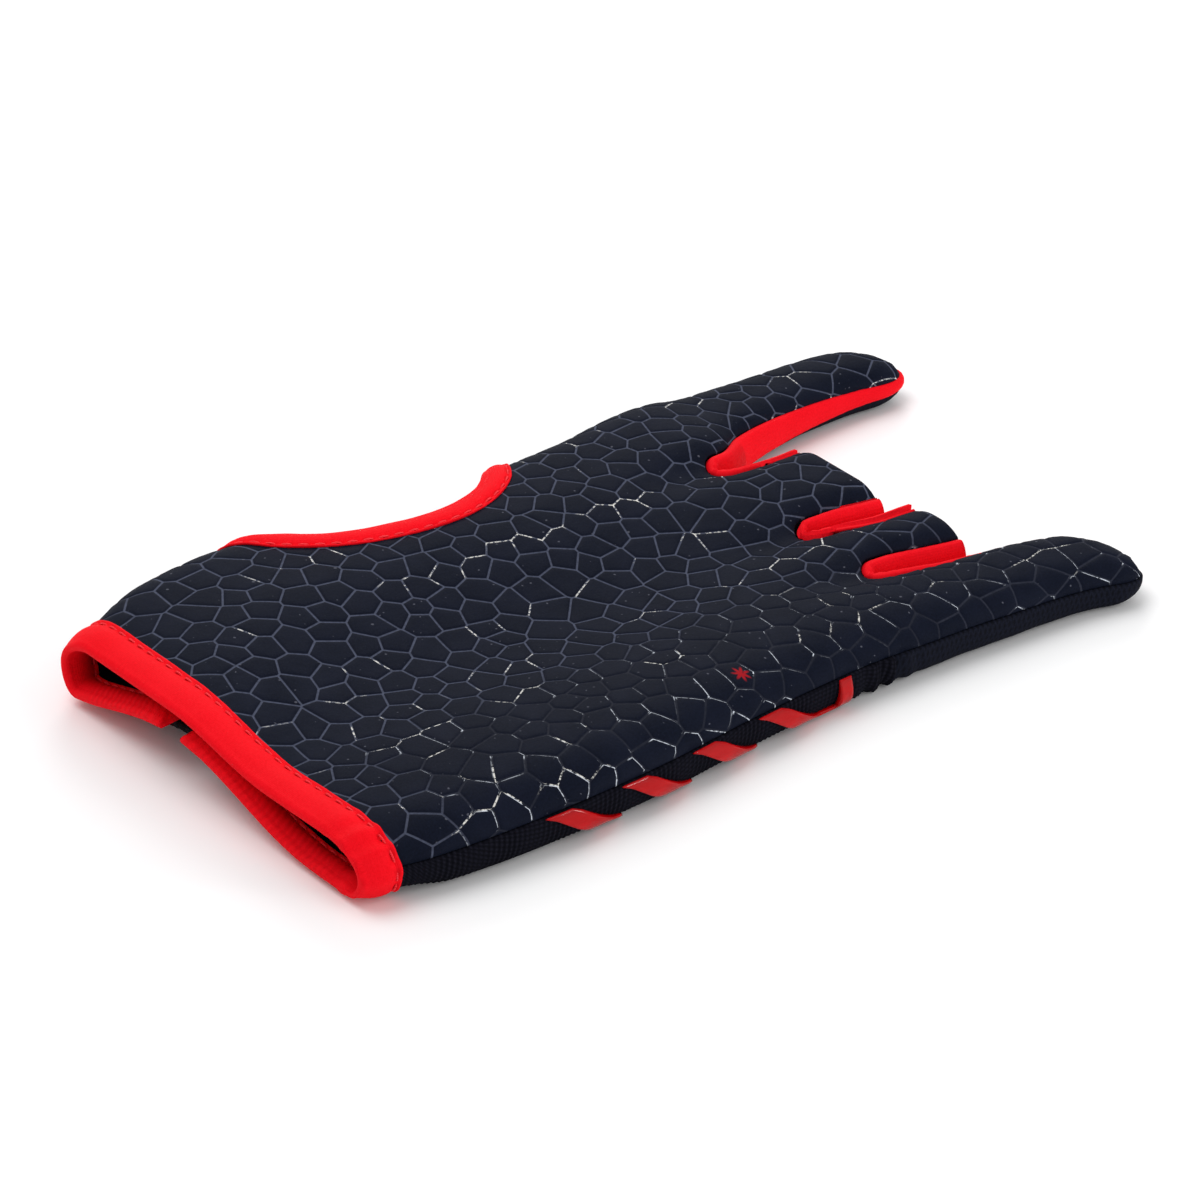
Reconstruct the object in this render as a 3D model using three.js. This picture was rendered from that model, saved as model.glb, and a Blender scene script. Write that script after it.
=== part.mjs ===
import * as THREE from 'three';

// A half-finger sports glove for the left hand, lying on its back, palm up.
// Millimetres. X runs from the wrist to the fingertips, Y from the little finger's side
// to the thumb's side, and Z up from the surface that the glove lies on.

// Palm and wrist
const palmLength = 128;
const palmWidth = 102;
const palmHeight = 15;
const palmRound = 9.5;
const backRound = 3.4;
const sideDepth = 6;
const wristSlant = 0.055;
const wristSlantReach = 70;
const archHeight = 7.6;
const archWidth = 80;
const webDip = 2.4;
const webDipWidth = 5.5;
const webDipReach = 24;

// Fingers, each measured from the crotches
const indexLength = 65.5;
const indexWidth = 21;
const indexHeight = 11.4;
const indexTipLength = 10;
const middleLength = 20;
const middleWidth = 26;
const middleHeight = 11.4;
const ringLength = 24;
const ringWidth = 15.4;
const ringHeight = 10;
const littleLength = 48;
const littleWidth = 19;
const littleHeight = 9.6;
const littleTipLength = 9;
const fingerRound = 7;
const webLength = 16;
const slotRadius = 4.3;
const fingerBackReach = 12;

// Cloth, tape and film
const clothThickness = 1.2;
const seamGap = 0.3;
const tapeGap = 0.55;
const seamRise = 1.3;
const gussetThickness = 2.5;
const gussetTipThickness = 1.0;
const gussetPuff = 0.9;
const gussetGap = 0.55;
const tapeThickness = 0.8;
const wristTapeWidth = 7.5;
const thumbTapeWidth = 5.5;
const slitTapeWidth = 4.5;
const filmThickness = 0.5;

// Openings
const thumbHoleStart = 39.6;
const thumbHoleLength = 54;
const thumbHolePalmDepth = 16;
const thumbHoleBackDepth = 10;
const slitLength = 38;
const slitWidth = 8;
const slitAcross = 0.2;

// Closure strap under the slit
const strapWidth = 20;
const strapLength = 32;
const strapThickness = 1.6;
const strapStart = 11;

// Stripes on the little finger's side
const stripeCount = 4;
const stripeStart = 33.3;
const stripePitch = 16.3;
const stripeWidth = 5.5;
const stripeSlant = 12;
const stripeReach = 6;
const hookGap = 2.5;
const hookWidth = 2.8;

// Palm sections from the wrist on. ulnar and radial are the two edges and are shares of
// palmWidth. ridge, hollow and mound are heights of the palm cloth at the little finger's
// side, the middle and the thumb's side, as shares of palmHeight, and hollowAt and moundAt
// are where they lie across the half width. arch lifts the back cloth.
const palmSections = [
  { at: -0.08, ulnar: -0.508, radial: 0.335, ridge: 0.71, hollow: 0.71, mound: 0.92,
    hollowAt: -0.4, moundAt: 0.2, arch: 1 },
  { at: 0, ulnar: -0.514, radial: 0.368, ridge: 0.75, hollow: 0.73, mound: 0.98,
    hollowAt: -0.4, moundAt: 0.25, arch: 1 },
  { at: 0.1, ulnar: -0.543, radial: 0.432, ridge: 0.8, hollow: 0.7, mound: 1.03,
    hollowAt: -0.3, moundAt: 0.4, arch: 1 },
  { at: 0.25, ulnar: -0.558, radial: 0.466, ridge: 0.85, hollow: 0.66, mound: 1.02,
    hollowAt: -0.15, moundAt: 0.55, arch: 0.75 },
  { at: 0.45, ulnar: -0.552, radial: 0.459, ridge: 0.86, hollow: 0.6, mound: 0.94,
    hollowAt: -0.1, moundAt: 0.6, arch: 0 },
  { at: 0.65, ulnar: -0.523, radial: 0.434, ridge: 0.84, hollow: 0.58, mound: 0.92,
    hollowAt: -0.1, moundAt: 0.6, arch: 0 },
  { at: 0.85, ulnar: -0.503, radial: 0.448, ridge: 0.8, hollow: 0.63, mound: 0.9,
    hollowAt: -0.1, moundAt: 0.6, arch: 0 },
  { at: 1, ulnar: -0.507, radial: 0.476, ridge: 0.76, hollow: 0.72, mound: 0.92,
    hollowAt: -0.1, moundAt: 0.6, arch: 0 },
  { at: 1.2, ulnar: -0.508, radial: 0.482, ridge: 0.74, hollow: 0.76, mound: 0.9,
    hollowAt: -0.1, moundAt: 0.6, arch: 0 },
];
const ridgeAt = -0.78;

// Where the columns of cells lie across each finger, closer together on the rounded sides
const sideColumns = {
  palm: [0, 0.12, 0.25, 0.4, 0.56, 0.78, 1],
  back: [0, 0.09, 0.18, 0.28, 0.62, 1],
};
const mirrored = (shares) => shares.map((share) => 1 - share).reverse();
const farSideColumns = {
  palm: mirrored([0, 0.07, 0.14, 0.22, 0.31, 0.5, 0.75, 1]),
  back: mirrored([0, 0.05, 0.1, 0.16, 0.3, 0.62, 1]),
};
const ringColumns = { palm: [0, 0.3, 0.7, 1], back: [0, 0.3, 0.7, 1] };
const middleColumns = { palm: [0, 0.22, 0.5, 0.78, 1], back: [0, 0.22, 0.5, 0.78, 1] };

// Finger sections from the crotches on. middle is a share of palmWidth, width and height
// are shares of the finger's own.
const fingers = [
  {
    name: 'little', length: littleLength, width: littleWidth, height: littleHeight,
    tip: littleTipLength, columns: sideColumns,
    sections: [
      { at: 0, middle: -0.416, width: 0.99, height: 1.1 },
      { at: 0.3, middle: -0.418, width: 1.02, height: 1.04 },
      { at: 0.6, middle: -0.428, width: 1.0, height: 0.98 },
      { at: 0.8, middle: -0.446, width: 0.98, height: 0.92 },
      { at: 1, middle: -0.487, width: 0.98, height: 0.84 },
    ],
  },
  {
    name: 'ring', length: ringLength, width: ringWidth, height: ringHeight,
    tip: 0, columns: ringColumns,
    sections: [
      { at: 0, middle: -0.189, width: 0.72, height: 1.04 },
      { at: 0.5, middle: -0.2, width: 0.86, height: 1.02 },
      { at: 1, middle: -0.212, width: 1.0, height: 1.0 },
    ],
  },
  {
    name: 'middle', length: middleLength, width: middleWidth, height: middleHeight,
    tip: 0, columns: middleColumns,
    sections: [
      { at: 0, middle: 0.038, width: 0.8, height: 1.02 },
      { at: 0.5, middle: 0.033, width: 0.92, height: 1.02 },
      { at: 1, middle: 0.028, width: 1.0, height: 1.0 },
    ],
  },
  {
    name: 'index', length: indexLength, width: indexWidth, height: indexHeight,
    tip: indexTipLength, columns: farSideColumns,
    sections: [
      { at: 0, middle: 0.342, width: 1.32, height: 1.08 },
      { at: 0.12, middle: 0.357, width: 1.2, height: 0.99 },
      { at: 0.25, middle: 0.38, width: 1.02, height: 0.9 },
      { at: 0.4, middle: 0.398, width: 0.9, height: 0.83 },
      { at: 0.55, middle: 0.408, width: 0.82, height: 0.79 },
      { at: 0.7, middle: 0.412, width: 0.78, height: 0.78 },
      { at: 0.85, middle: 0.406, width: 0.74, height: 0.76 },
      { at: 1, middle: 0.378, width: 0.68, height: 0.7 },
    ],
  },
];
// Crotches between neighbouring fingers, as shares of palmWidth
const crotches = [-0.284, -0.093, 0.175];
// Half the width of a gusset above and below the side, and at a fingertip
const gussetUp = 4.6;
const gussetDown = 3.6;
const gussetTipHalf = 1.5;
const gussetNarrows = 0.25;

const clamp = (value, low, high) => Math.min(high, Math.max(low, value));
const lerp = (a, b, t) => a + (b - a) * t;
const smooth = (t) => {
  const s = clamp(t, 0, 1);
  return s * s * (3 - 2 * s);
};
const quarterTurn = Math.PI / 2;
const quarterArc = 0.8;
const roundMost = 0.95;
const degree = Math.PI / 180;
const restHeight = clothThickness / 2;
const tapeRoom = tapeThickness + tapeGap;
const tapeFade = 8;
const tapeSpread = thumbTapeWidth + tapeFade * 1.6;
const seamSide = seamGap * 0.8;
const fingerBackStart = palmLength - fingerBackReach;
const weldCell = 0.01;
const rowClear = 0.2;
const thumbHoleMiddle = thumbHoleStart + thumbHoleLength / 2;

// A table's column at a share of the length, on a smooth curve through the rows.
function column(table, at, name) {
  const last = table.length - 1;
  let i = 0;
  while (i < last - 1 && at > table[i + 1].at) i += 1;
  const slope = (k) => {
    const before = table[Math.max(k - 1, 0)];
    const after = table[Math.min(k + 1, last)];
    return (after[name] - before[name]) / (after.at - before.at);
  };
  const low = table[i];
  const high = table[i + 1];
  const span = high.at - low.at;
  const t = clamp((at - low.at) / span, 0, 1);
  const rise = t * (1 - t) * span;
  return lerp(low[name], high[name], smooth(t))
    + rise * ((1 - t) * slope(i) - t * slope(i + 1));
}

// A flattened tube's half width, split into its flat part and its rounded side.
function split(half, round) {
  const radius = Math.min(round, half * roundMost);
  const flat = half - radius;
  const arc = (radius + sideDepth) * quarterArc;
  return { radius, flat, arc, length: flat + arc };
}

// A place on a flattened tube's section: loop is 0 over the middle and 1 at the side.
function around(half, round, loop) {
  const { radius, flat, arc, length } = split(half, round);
  const turn = Math.abs(loop) * length;
  if (turn <= flat) return { across: Math.sign(loop) * turn, rise: 1 };
  const angle = (turn - flat) / arc * quarterTurn;
  return {
    across: Math.sign(loop) * (flat + radius * Math.sin(angle)),
    rise: Math.cos(angle),
  };
}

function palmSection(x) {
  const at = x / palmLength;
  const ulnar = column(palmSections, at, 'ulnar') * palmWidth;
  const radial = column(palmSections, at, 'radial') * palmWidth;
  const part = (name) => column(palmSections, at, name);
  return {
    middle: (ulnar + radial) / 2,
    half: (radial - ulnar) / 2,
    ridge: part('ridge') * palmHeight,
    hollow: part('hollow') * palmHeight,
    mound: part('mound') * palmHeight,
    hollowAt: part('hollowAt'),
    moundAt: part('moundAt'),
    arch: Math.max(0, part('arch')) * archHeight,
  };
}

function palmTop(section, x, y) {
  const share = (y - section.middle) / section.half;
  const toHollow = smooth((share - ridgeAt) / (section.hollowAt - ridgeAt));
  const toMound = smooth((share - section.hollowAt) / (section.moundAt - section.hollowAt));
  let height = lerp(section.ridge, section.hollow, toHollow);
  height = lerp(height, section.mound, toMound);
  const nearWebs = smooth((x - palmLength + webDipReach) / webDipReach);
  for (const crotch of crotches) {
    const away = (y - crotch * palmWidth) / webDipWidth;
    height -= webDip * nearWebs * Math.exp(-away * away);
  }
  return height;
}

// The back lies flat, arched up at the slit. It leaves room below for the tape at the
// wrist and at the thumb hole.
function palmBottom(section, row, y) {
  const slitY = section.middle + slitAcross * section.half;
  const away = clamp((y - slitY) / (archWidth / 2), -1, 1);
  const arch = section.arch * Math.cos(away * quarterTurn) ** 2;
  const atWrist = 1 - smooth((row - wristTapeWidth - 1) / tapeFade);
  const alongHole = thumbHoleLength / 2 + tapeSpread;
  const holeAway = (alongHole - Math.abs(row - thumbHoleMiddle)) / tapeFade;
  const holeDeep = thumbHoleBackDepth + tapeSpread;
  const sideAway = (y - section.middle - section.half + holeDeep) / tapeFade;
  const atHole = smooth(holeAway) * smooth(sideAway);
  return restHeight + arch + tapeRoom * Math.max(atWrist, atHole);
}

// The hand's cloth as one loop: from -1 at the little finger's side over the palm to 1 at
// the thumb's side, and on under the back to 3. Rows are slanted at the wrist.
function handPoint(row, loop) {
  const turn = loop - 4 * Math.floor((loop + 1) / 4);
  const onPalm = turn <= 1;
  const flat = palmSection(row);
  const ulnar = flat.middle - flat.half;
  const round = onPalm ? palmRound : backRound;
  const loose = around(flat.half, round, onPalm ? turn : 2 - turn);
  const near = Math.max(0, 1 - row / wristSlantReach);
  const x = row - wristSlant * (flat.middle + loose.across - ulnar) * near * near;
  const section = palmSection(x);
  const { across, rise } = around(section.half, round, onPalm ? turn : 2 - turn);
  const y = section.middle + across;
  const share = clamp(across / section.half, -1, 1);
  const bottom = palmBottom(section, row, y);
  const shoulder = lerp(section.ridge, section.mound, (share + 1) / 2);
  const side = (shoulder + restHeight) / 2;
  const level = onPalm ? palmTop(section, x, y) : bottom;
  return new THREE.Vector3(x, y, side + (level - side) * rise);
}

// Loop values at a place across, or along the cloth from the side, in millimetres.
function loopPerMm(row, onPalm) {
  return 1 / split(palmSection(row).half, onPalm ? palmRound : backRound).length;
}
const loopAtY = (row, y, onPalm) => (y - palmSection(row).middle) * loopPerMm(row, onPalm);
const sideLoop = (row, onPalm) => (
  1 - ((onPalm ? seamRise : -seamRise) + seamSide) * loopPerMm(row, true)
);

// How much of a finger's section is left where the tip closes
function domeAt(finger, row) {
  if (!finger.tip) return 1;
  const into = clamp((row - palmLength - finger.length) / finger.tip + 1, 0, 1);
  return Math.sqrt(1 - into * into);
}

// A finger's section, its tip drawn in to a dome.
function fingerPoint(finger, row, loop, onPalm) {
  const at = (row - palmLength) / finger.length;
  const dome = domeAt(finger, row);
  const half = column(finger.sections, at, 'width') * finger.width / 2;
  const top = column(finger.sections, at, 'height') * finger.height + restHeight;
  const side = (top + restHeight) / 2;
  const past = Math.abs(loop) > 1;
  const overTop = past ? !onPalm : onPalm;
  const turn = past ? Math.sign(loop) * 2 - loop : loop;
  const { across, rise } = around(half, overTop ? fingerRound : backRound, turn);
  const y = column(finger.sections, at, 'middle') * palmWidth + dome * across;
  const level = overTop ? top : restHeight;
  return new THREE.Vector3(row, y, side + (level - side) * dome * rise);
}

// Half the width of the round-ended slot between two fingers, some way past its crotch.
const slotHalf = (past) => {
  const left = 1 - clamp(past / slotRadius, 0, 1);
  return slotRadius * Math.sqrt(1 - left * left);
};

// Where a finger's cloth ends on its two sides.
function fingerSeams(index, row, onPalm) {
  const finger = fingers[index];
  const at = (row - palmLength) / finger.length;
  const half = column(finger.sections, at, 'width') * finger.width / 2;
  const reach = split(half, onPalm ? fingerRound : backRound).length * domeAt(finger, row);
  const closing = finger.tip ? smooth((at - gussetNarrows) / (1 - gussetNarrows)) : 0;
  const open = lerp(onPalm ? gussetUp : gussetDown, gussetTipHalf, closing);
  const inner = 1 - open / reach;
  const rise = seamRise * domeAt(finger, row);
  const sideReach = split(half, fingerRound).length * domeAt(finger, row);
  const outer = 1 - ((onPalm ? rise : -rise) + seamSide) / sideReach;
  return {
    low: index === 0 ? -outer : -inner,
    high: index === fingers.length - 1 ? outer : inner,
  };
}

// Cloth over or under a finger: the hand's cloth at the crotches, the finger's own past
// the web. across runs from 0 at its little finger's side to 1.
function fingerCloth(index, row, across, onPalm, apart = 0) {
  const past = row - palmLength;
  const seams = fingerSeams(index, row, onPalm);
  const side = sideLoop(row, onPalm);
  const open = Math.max(slotHalf(past), apart);
  const low = index === 0
    ? -side
    : loopAtY(row, crotches[index - 1] * palmWidth + open, onPalm);
  const high = index === fingers.length - 1
    ? side
    : loopAtY(row, crotches[index] * palmWidth - open, onPalm);
  const wide = lerp(low, high, across);
  const flat = handPoint(row, onPalm ? wide : 2 - wide);
  const round = fingerPoint(fingers[index], row, lerp(seams.low, seams.high, across), onPalm);
  return flat.lerp(round, smooth(past / webLength));
}

// A point on a surface with its outward normal.
function place(surface, u, v, outward) {
  const stepU = 0.02;
  const stepV = 0.0008;
  const alongU = surface(u + stepU, v).sub(surface(u - stepU, v));
  const alongV = surface(u, v + stepV).sub(surface(u, v - stepV));
  const normal = alongU.cross(alongV).multiplyScalar(outward).normalize();
  return { point: surface(u, v), normal };
}

// A closed body whose faces point out and that never reaches below the resting surface.
function closedBody(points, indices) {
  const spots = points.map(({ x, y, z }) => new THREE.Vector3(x, y, Math.max(0, z)));
  let volume = 0;
  for (let k = 0; k < indices.length; k += 3) {
    const [a, b, c] = [spots[indices[k]], spots[indices[k + 1]], spots[indices[k + 2]]];
    volume += a.dot(b.clone().cross(c));
  }
  const geometry = new THREE.BufferGeometry().setFromPoints(spots);
  geometry.setIndex(volume < 0 ? [...indices].reverse() : indices);
  geometry.computeVertexNormals();
  return geometry;
}

// Collects four-sided cells of places and closes them into a sheet of cloth.
class Sheet {
  constructor() {
    this.places = [];
    this.index = new Map();
    this.faces = [];
  }

  // The place already held at this point, if there is one, in the cells next to its own
  find(point) {
    const [x, y, z] = point.toArray().map((value) => Math.round(value / weldCell));
    const steps = [-1, 0, 1];
    const keys = steps.flatMap((i) => steps.flatMap((j) => steps.map((k) => (
      `${x + i} ${y + j} ${z + k}`))));
    const held = keys.map((key) => this.index.get(key));
    return held.find((spot) => (
      spot !== undefined && this.places[spot].point.distanceTo(point) < weldCell));
  }

  add(spot) {
    const held = this.find(spot.point);
    if (held !== undefined) return held;
    const key = spot.point.toArray().map((value) => Math.round(value / weldCell)).join(' ');
    this.index.set(key, this.places.length);
    this.places.push(spot);
    return this.places.length - 1;
  }

  patch(rows, columns, spotAt, turned) {
    const grid = rows.map((row) => columns.map((spot) => this.add(spotAt(row, spot))));
    for (let i = 1; i < rows.length; i += 1) {
      for (let j = 1; j < columns.length; j += 1) {
        const cell = [grid[i - 1][j - 1], grid[i][j - 1], grid[i][j], grid[i - 1][j]];
        if (turned) cell.reverse();
        this.faces.push([cell[0], cell[1], cell[2]], [cell[0], cell[2], cell[3]]);
      }
    }
  }

  solid(low, high) {
    const count = this.places.length;
    const points = [high, low].flatMap((offset) => (
      this.places.map(({ point, normal }) => point.clone().addScaledVector(normal, offset))
    ));
    const faces = this.faces.filter(([a, b, c]) => a !== b && b !== c && c !== a);
    const edges = new Set();
    for (const face of faces) {
      face.forEach((a, k) => edges.add(`${a} ${face[(k + 1) % 3]}`));
    }
    const indices = [];
    for (const [a, b, c] of faces) indices.push(a, b, c, a + count, c + count, b + count);
    for (const edge of edges) {
      const [a, b] = edge.split(' ').map(Number);
      if (!edges.has(`${b} ${a}`)) {
        indices.push(b, a, a + count, b, a + count, b + count);
      }
    }
    return closedBody(points, indices);
  }
}

// Rings of points joined into one closed body, round or with two capped ends.
function joinRings(rings, closed) {
  const size = rings[0].length;
  const indices = [];
  const spans = closed ? rings.length : rings.length - 1;
  for (let i = 0; i < spans; i += 1) {
    const next = (i + 1) % rings.length;
    for (let j = 0; j < size; j += 1) {
      const a = i * size + j;
      const b = i * size + (j + 1) % size;
      const c = next * size + (j + 1) % size;
      const d = next * size + j;
      indices.push(a, b, c, a, c, d);
    }
  }
  if (!closed) {
    const half = size / 2;
    const last = (rings.length - 1) * size;
    for (let j = 0; j < half - 1; j += 1) {
      const a = j;
      const b = j + 1;
      const c = size - 2 - j;
      const d = size - 1 - j;
      indices.push(a, c, b, a, d, c);
      indices.push(last + a, last + b, last + c, last + a, last + c, last + d);
    }
  }
  return closedBody(rings.flat(), indices);
}

// Where the rows lie
const slotRows = [0.134, 0.5, 1];
const tipDegrees = [26, 48, 66, 80];
const fingerRowStep = 7;
function fingerRows(finger) {
  const rows = slotRows.map((share) => share * slotRadius);
  const straightEnd = finger.length - finger.tip;
  const count = Math.max(2, Math.round((straightEnd - slotRadius) / fingerRowStep));
  for (let k = 1; k <= count; k += 1) rows.push(lerp(slotRadius, straightEnd, k / count));
  if (finger.tip) {
    for (const angle of tipDegrees) {
      rows.push(straightEnd + finger.tip * Math.sin(angle * degree));
    }
  }
  return rows.map((row) => palmLength + row);
}

// Thumb hole
const thumbHoleDegrees = [0, 9, 18, 27, 36, 45, 54, 72, 90, 108, 126, 135, 144, 153, 162, 171, 180];
const thumbHoleRows = thumbHoleDegrees.map((degrees) => (
  thumbHoleMiddle - thumbHoleLength / 2 * Math.cos(degrees * degree)
));
function thumbHoleDepth(row, onPalm) {
  const away = (row - thumbHoleMiddle) / (thumbHoleLength / 2);
  const depth = onPalm ? thumbHolePalmDepth : thumbHoleBackDepth;
  return depth * Math.sqrt(Math.max(0, 1 - away * away)) * loopPerMm(row, onPalm);
}

const wristRows = [0, 0.2, 0.45, 0.71, 0.86].map((share) => (
  lerp(wristTapeWidth + 1, thumbHoleStart, share)));
const lastRow = lerp(thumbHoleStart + thumbHoleLength, fingerBackStart, 0.45);
const handRows = [0, ...wristRows, ...thumbHoleRows, lastRow, fingerBackStart, palmLength];

// The hand's columns are those of the fingers at the crotches, carried back to the wrist.
const stopClear = 1e-6;
function stopsOf(onPalm) {
  const crotchLoops = crotches.map((crotch) => loopAtY(palmLength, crotch * palmWidth, onPalm));
  const ends = [-1, ...crotchLoops, 1];
  const stops = fingers.map(({ columns }, index) => (
    (onPalm ? columns.palm : columns.back).map((share) => (
      lerp(ends[index], ends[index + 1], share)))
  ));
  return stops.flat().filter((stop, k, all) => k === 0 || stop - all[k - 1] > stopClear);
}
const palmStops = stopsOf(true);
const backStops = stopsOf(false);
const ringStop = (onPalm) => loopAtY(palmLength, crotches[0] * palmWidth, onPalm);
const indexStop = (onPalm) => loopAtY(palmLength, crotches.at(-1) * palmWidth, onPalm);
function handLoop(row, stop, onPalm) {
  const ring = ringStop(onPalm);
  const index = indexStop(onPalm);
  const side = sideLoop(row, onPalm);
  const high = side - thumbHoleDepth(row, onPalm);
  let loop = stop;
  if (stop < ring) loop = lerp(-side, ring, (stop + 1) / (ring + 1));
  if (stop > index) loop = lerp(index, high, (stop - index) / (1 - index));
  return onPalm ? loop : 2 - loop;
}

// The palm: one cloth from the wrist to the ends of all four fingers.
const palmSheet = new Sheet();
palmSheet.patch(handRows, palmStops, (row, stop) => (
  place(handPoint, row, handLoop(row, stop, true), 1)), false);
fingers.forEach((finger, index) => {
  const cloth = (row, across) => fingerCloth(index, row, across, true);
  const rows = [palmLength, ...fingerRows(finger)];
  palmSheet.patch(rows, finger.columns.palm, (row, across) => place(cloth, row, across, 1),
    false);
});

// The back's columns, moved over at the wrist so that one of them meets the slit.
const slitRadius = slitWidth / 2;
const slitFade = 50;
const slitStop = backStops.reduce((a, b) => (Math.abs(b) < Math.abs(a) ? b : a));
const slitLoop = (row) => lerp(slitAcross, slitStop, smooth((row - slitLength) / slitFade));
function slitOpen(row) {
  const into = clamp((row - slitLength + slitRadius) / slitRadius, 0, 1);
  return slitRadius * Math.sqrt(1 - into * into) * loopPerMm(row, false);
}
function backLoop(row, stop, side) {
  const middle = slitLoop(row);
  const open = slitOpen(row);
  const moved = side < 0
    ? lerp(-1, middle - open, (stop + 1) / (slitStop + 1))
    : lerp(middle + open, 1, (stop - slitStop) / (1 - slitStop));
  return handLoop(row, moved, false);
}
const backPlace = (row, stop, side) => (
  place(handPoint, row, backLoop(row, stop, side), 1)
);

// The back of the hand with the backs of the two short fingers.
const backSheet = new Sheet();
const backStart = fingerBackStart - seamGap / 2;
const slitRows = [0, 0.5, 0.866, 1].map((share) => slitLength - slitRadius * (1 - share));
const otherRows = [0, ...wristRows, ...thumbHoleRows, lastRow, backStart];
const backRows = [
  ...slitRows,
  ...otherRows.filter((row) => slitRows.every((held) => Math.abs(held - row) > rowClear)),
].sort((a, b) => a - b);
const before = backStops.filter((stop) => stop <= slitStop);
const after = backStops.filter((stop) => stop >= slitStop);
backSheet.patch(backRows, before, (row, stop) => backPlace(row, stop, -1), true);
backSheet.patch(backRows, after, (row, stop) => backPlace(row, stop, 1), true);
const shortFingers = backStops.filter((stop) => (
  stop >= ringStop(false) && stop <= indexStop(false)));
backSheet.patch([backStart, palmLength], shortFingers, (row, stop) => (
  place(handPoint, row, 2 - stop, 1)), true);
function fingerBack(sheet, index, apart) {
  const finger = fingers[index];
  const cloth = (row, across) => fingerCloth(index, row, across, false, apart);
  const rows = [palmLength, ...fingerRows(finger)];
  sheet.patch(rows, finger.columns.back, (row, across) => place(cloth, row, across, -1), true);
}
fingerBack(backSheet, 1, 0);
fingerBack(backSheet, 2, 0);

// The smooth backs of the two long fingers
function longFingerBack(index) {
  const sheet = new Sheet();
  const cloth = (row, across) => fingerCloth(index, row, across, false, seamGap);
  const rows = [fingerBackStart + seamGap / 2, palmLength];
  sheet.patch(rows, fingers[index].columns.back, (row, across) => (
    place(cloth, row, across, -1)), true);
  fingerBack(sheet, index, seamGap);
  return sheet;
}
const littleBack = longFingerBack(0);
const indexBack = longFingerBack(3);

// A gusset between two neighbouring fingers: out along one, round the crotch and back.
const gussetColumns = [0, 0.2, 0.5, 0.8, 1];
const gussetHandle = 0.33;
function gusset(index) {
  const stations = [];
  const lowRows = fingerRows(fingers[index]).reverse();
  const highRows = fingerRows(fingers[index + 1]);
  for (const row of lowRows) stations.push({ finger: index, row, across: 1 });
  stations.push({ finger: index, row: palmLength, across: 1 });
  for (const row of highRows) stations.push({ finger: index + 1, row, across: 0 });
  const edges = stations.map(({ finger, row, across }) => {
    const side = (onPalm) => {
      const cloth = (u, v) => fingerCloth(finger, u, v, onPalm);
      return place(cloth, row, across, onPalm ? 1 : -1);
    };
    return { top: side(true), bottom: side(false) };
  });
  const rings = edges.map((edge, k) => {
    const { finger, row } = stations[k];
    const past = (row - palmLength) / fingers[finger].length;
    const long = fingers[finger].tip > 0;
    const thickness = lerp(gussetThickness, gussetTipThickness, long ? smooth(past) : 0);
    const before = edges[Math.max(k - 1, 0)];
    const after = edges[Math.min(k + 1, edges.length - 1)];
    const ends = ['top', 'bottom'].map((name) => {
      const { point, normal } = edge[name];
      const along = after[name].point.clone().sub(before[name].point).normalize();
      const away = along.cross(normal).normalize();
      if (name === 'bottom') away.negate();
      const level = new THREE.Vector3(away.x, away.y, 0).normalize();
      const flat = away.x ** 2 + away.y ** 2;
      const down = new THREE.Vector3(0, 0, name === 'top' ? -1 : 1);
      const heading = away.clone().lerp(down, flat).normalize();
      const bend = away.clone().cross(heading).length();
      const start = point.clone()
        .addScaledVector(away, gussetGap + thickness / 2 * bend)
        .addScaledVector(normal, clothThickness / 2 * bend);
      return { start, heading, level };
    });
    const [top, bottom] = ends;
    const drop = top.start.z - bottom.start.z;
    const handle = (end) => end.start.clone()
      .addScaledVector(end.heading, drop * gussetHandle)
      .addScaledVector(end.level, gussetPuff * Math.min(1, drop / gussetUp));
    const curve = new THREE.CubicBezierCurve3(
      top.start, handle(top), handle(bottom), bottom.start,
    );
    return { curve, level: top.level, along: after.top.point.clone().sub(before.top.point), thickness };
  });
  const bodies = rings.map(({ curve, level, along, thickness }) => {
    const outer = [];
    const inner = [];
    for (const share of gussetColumns) {
      const point = curve.getPoint(share);
      const normal = curve.getTangent(share).cross(along).normalize();
      if (normal.dot(level) < 0) normal.negate();
      outer.push(point.clone().addScaledVector(normal, thickness / 2));
      inner.push(point.clone().addScaledVector(normal, -thickness / 2));
    }
    return [...outer, ...inner.reverse()];
  });
  return joinRings(bodies, false);
}

// Tape folded over an edge: each station has its edge and how far in the tape reaches.
const tapeCorner = 0.45;
function foldedTape(stations) {
  const clear = clothThickness / 2 + tapeGap;
  const outer = clear + tapeThickness;
  const rings = stations.map(({ edge, inner, mitre = 1 }) => {
    const middle = edge.map((value, k) => (value + inner[k]) / 2);
    const at = (spot) => place(handPoint, spot[0], spot[1], 1);
    const rim = at(edge);
    const half = at(middle);
    const end = at(inner);
    const away = rim.point.clone().sub(half.point).normalize();
    const off = (spot, out, up) => spot.point.clone()
      .addScaledVector(away, out * mitre)
      .addScaledVector(spot.normal, up);
    return [
      off(end, 0, outer), off(half, 0, outer), off(rim, tapeGap, outer),
      off(rim, tapeRoom, outer * tapeCorner), off(rim, tapeRoom, -outer * tapeCorner),
      off(rim, tapeGap, -outer), off(half, 0, -outer), off(end, 0, -outer),
      off(end, 0, -clear), off(half, 0, -clear), off(rim, tapeGap, -clear),
      off(rim, tapeGap, clear), off(half, 0, clear), off(end, 0, clear),
    ];
  });
  return joinRings(rings, true);
}

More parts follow.
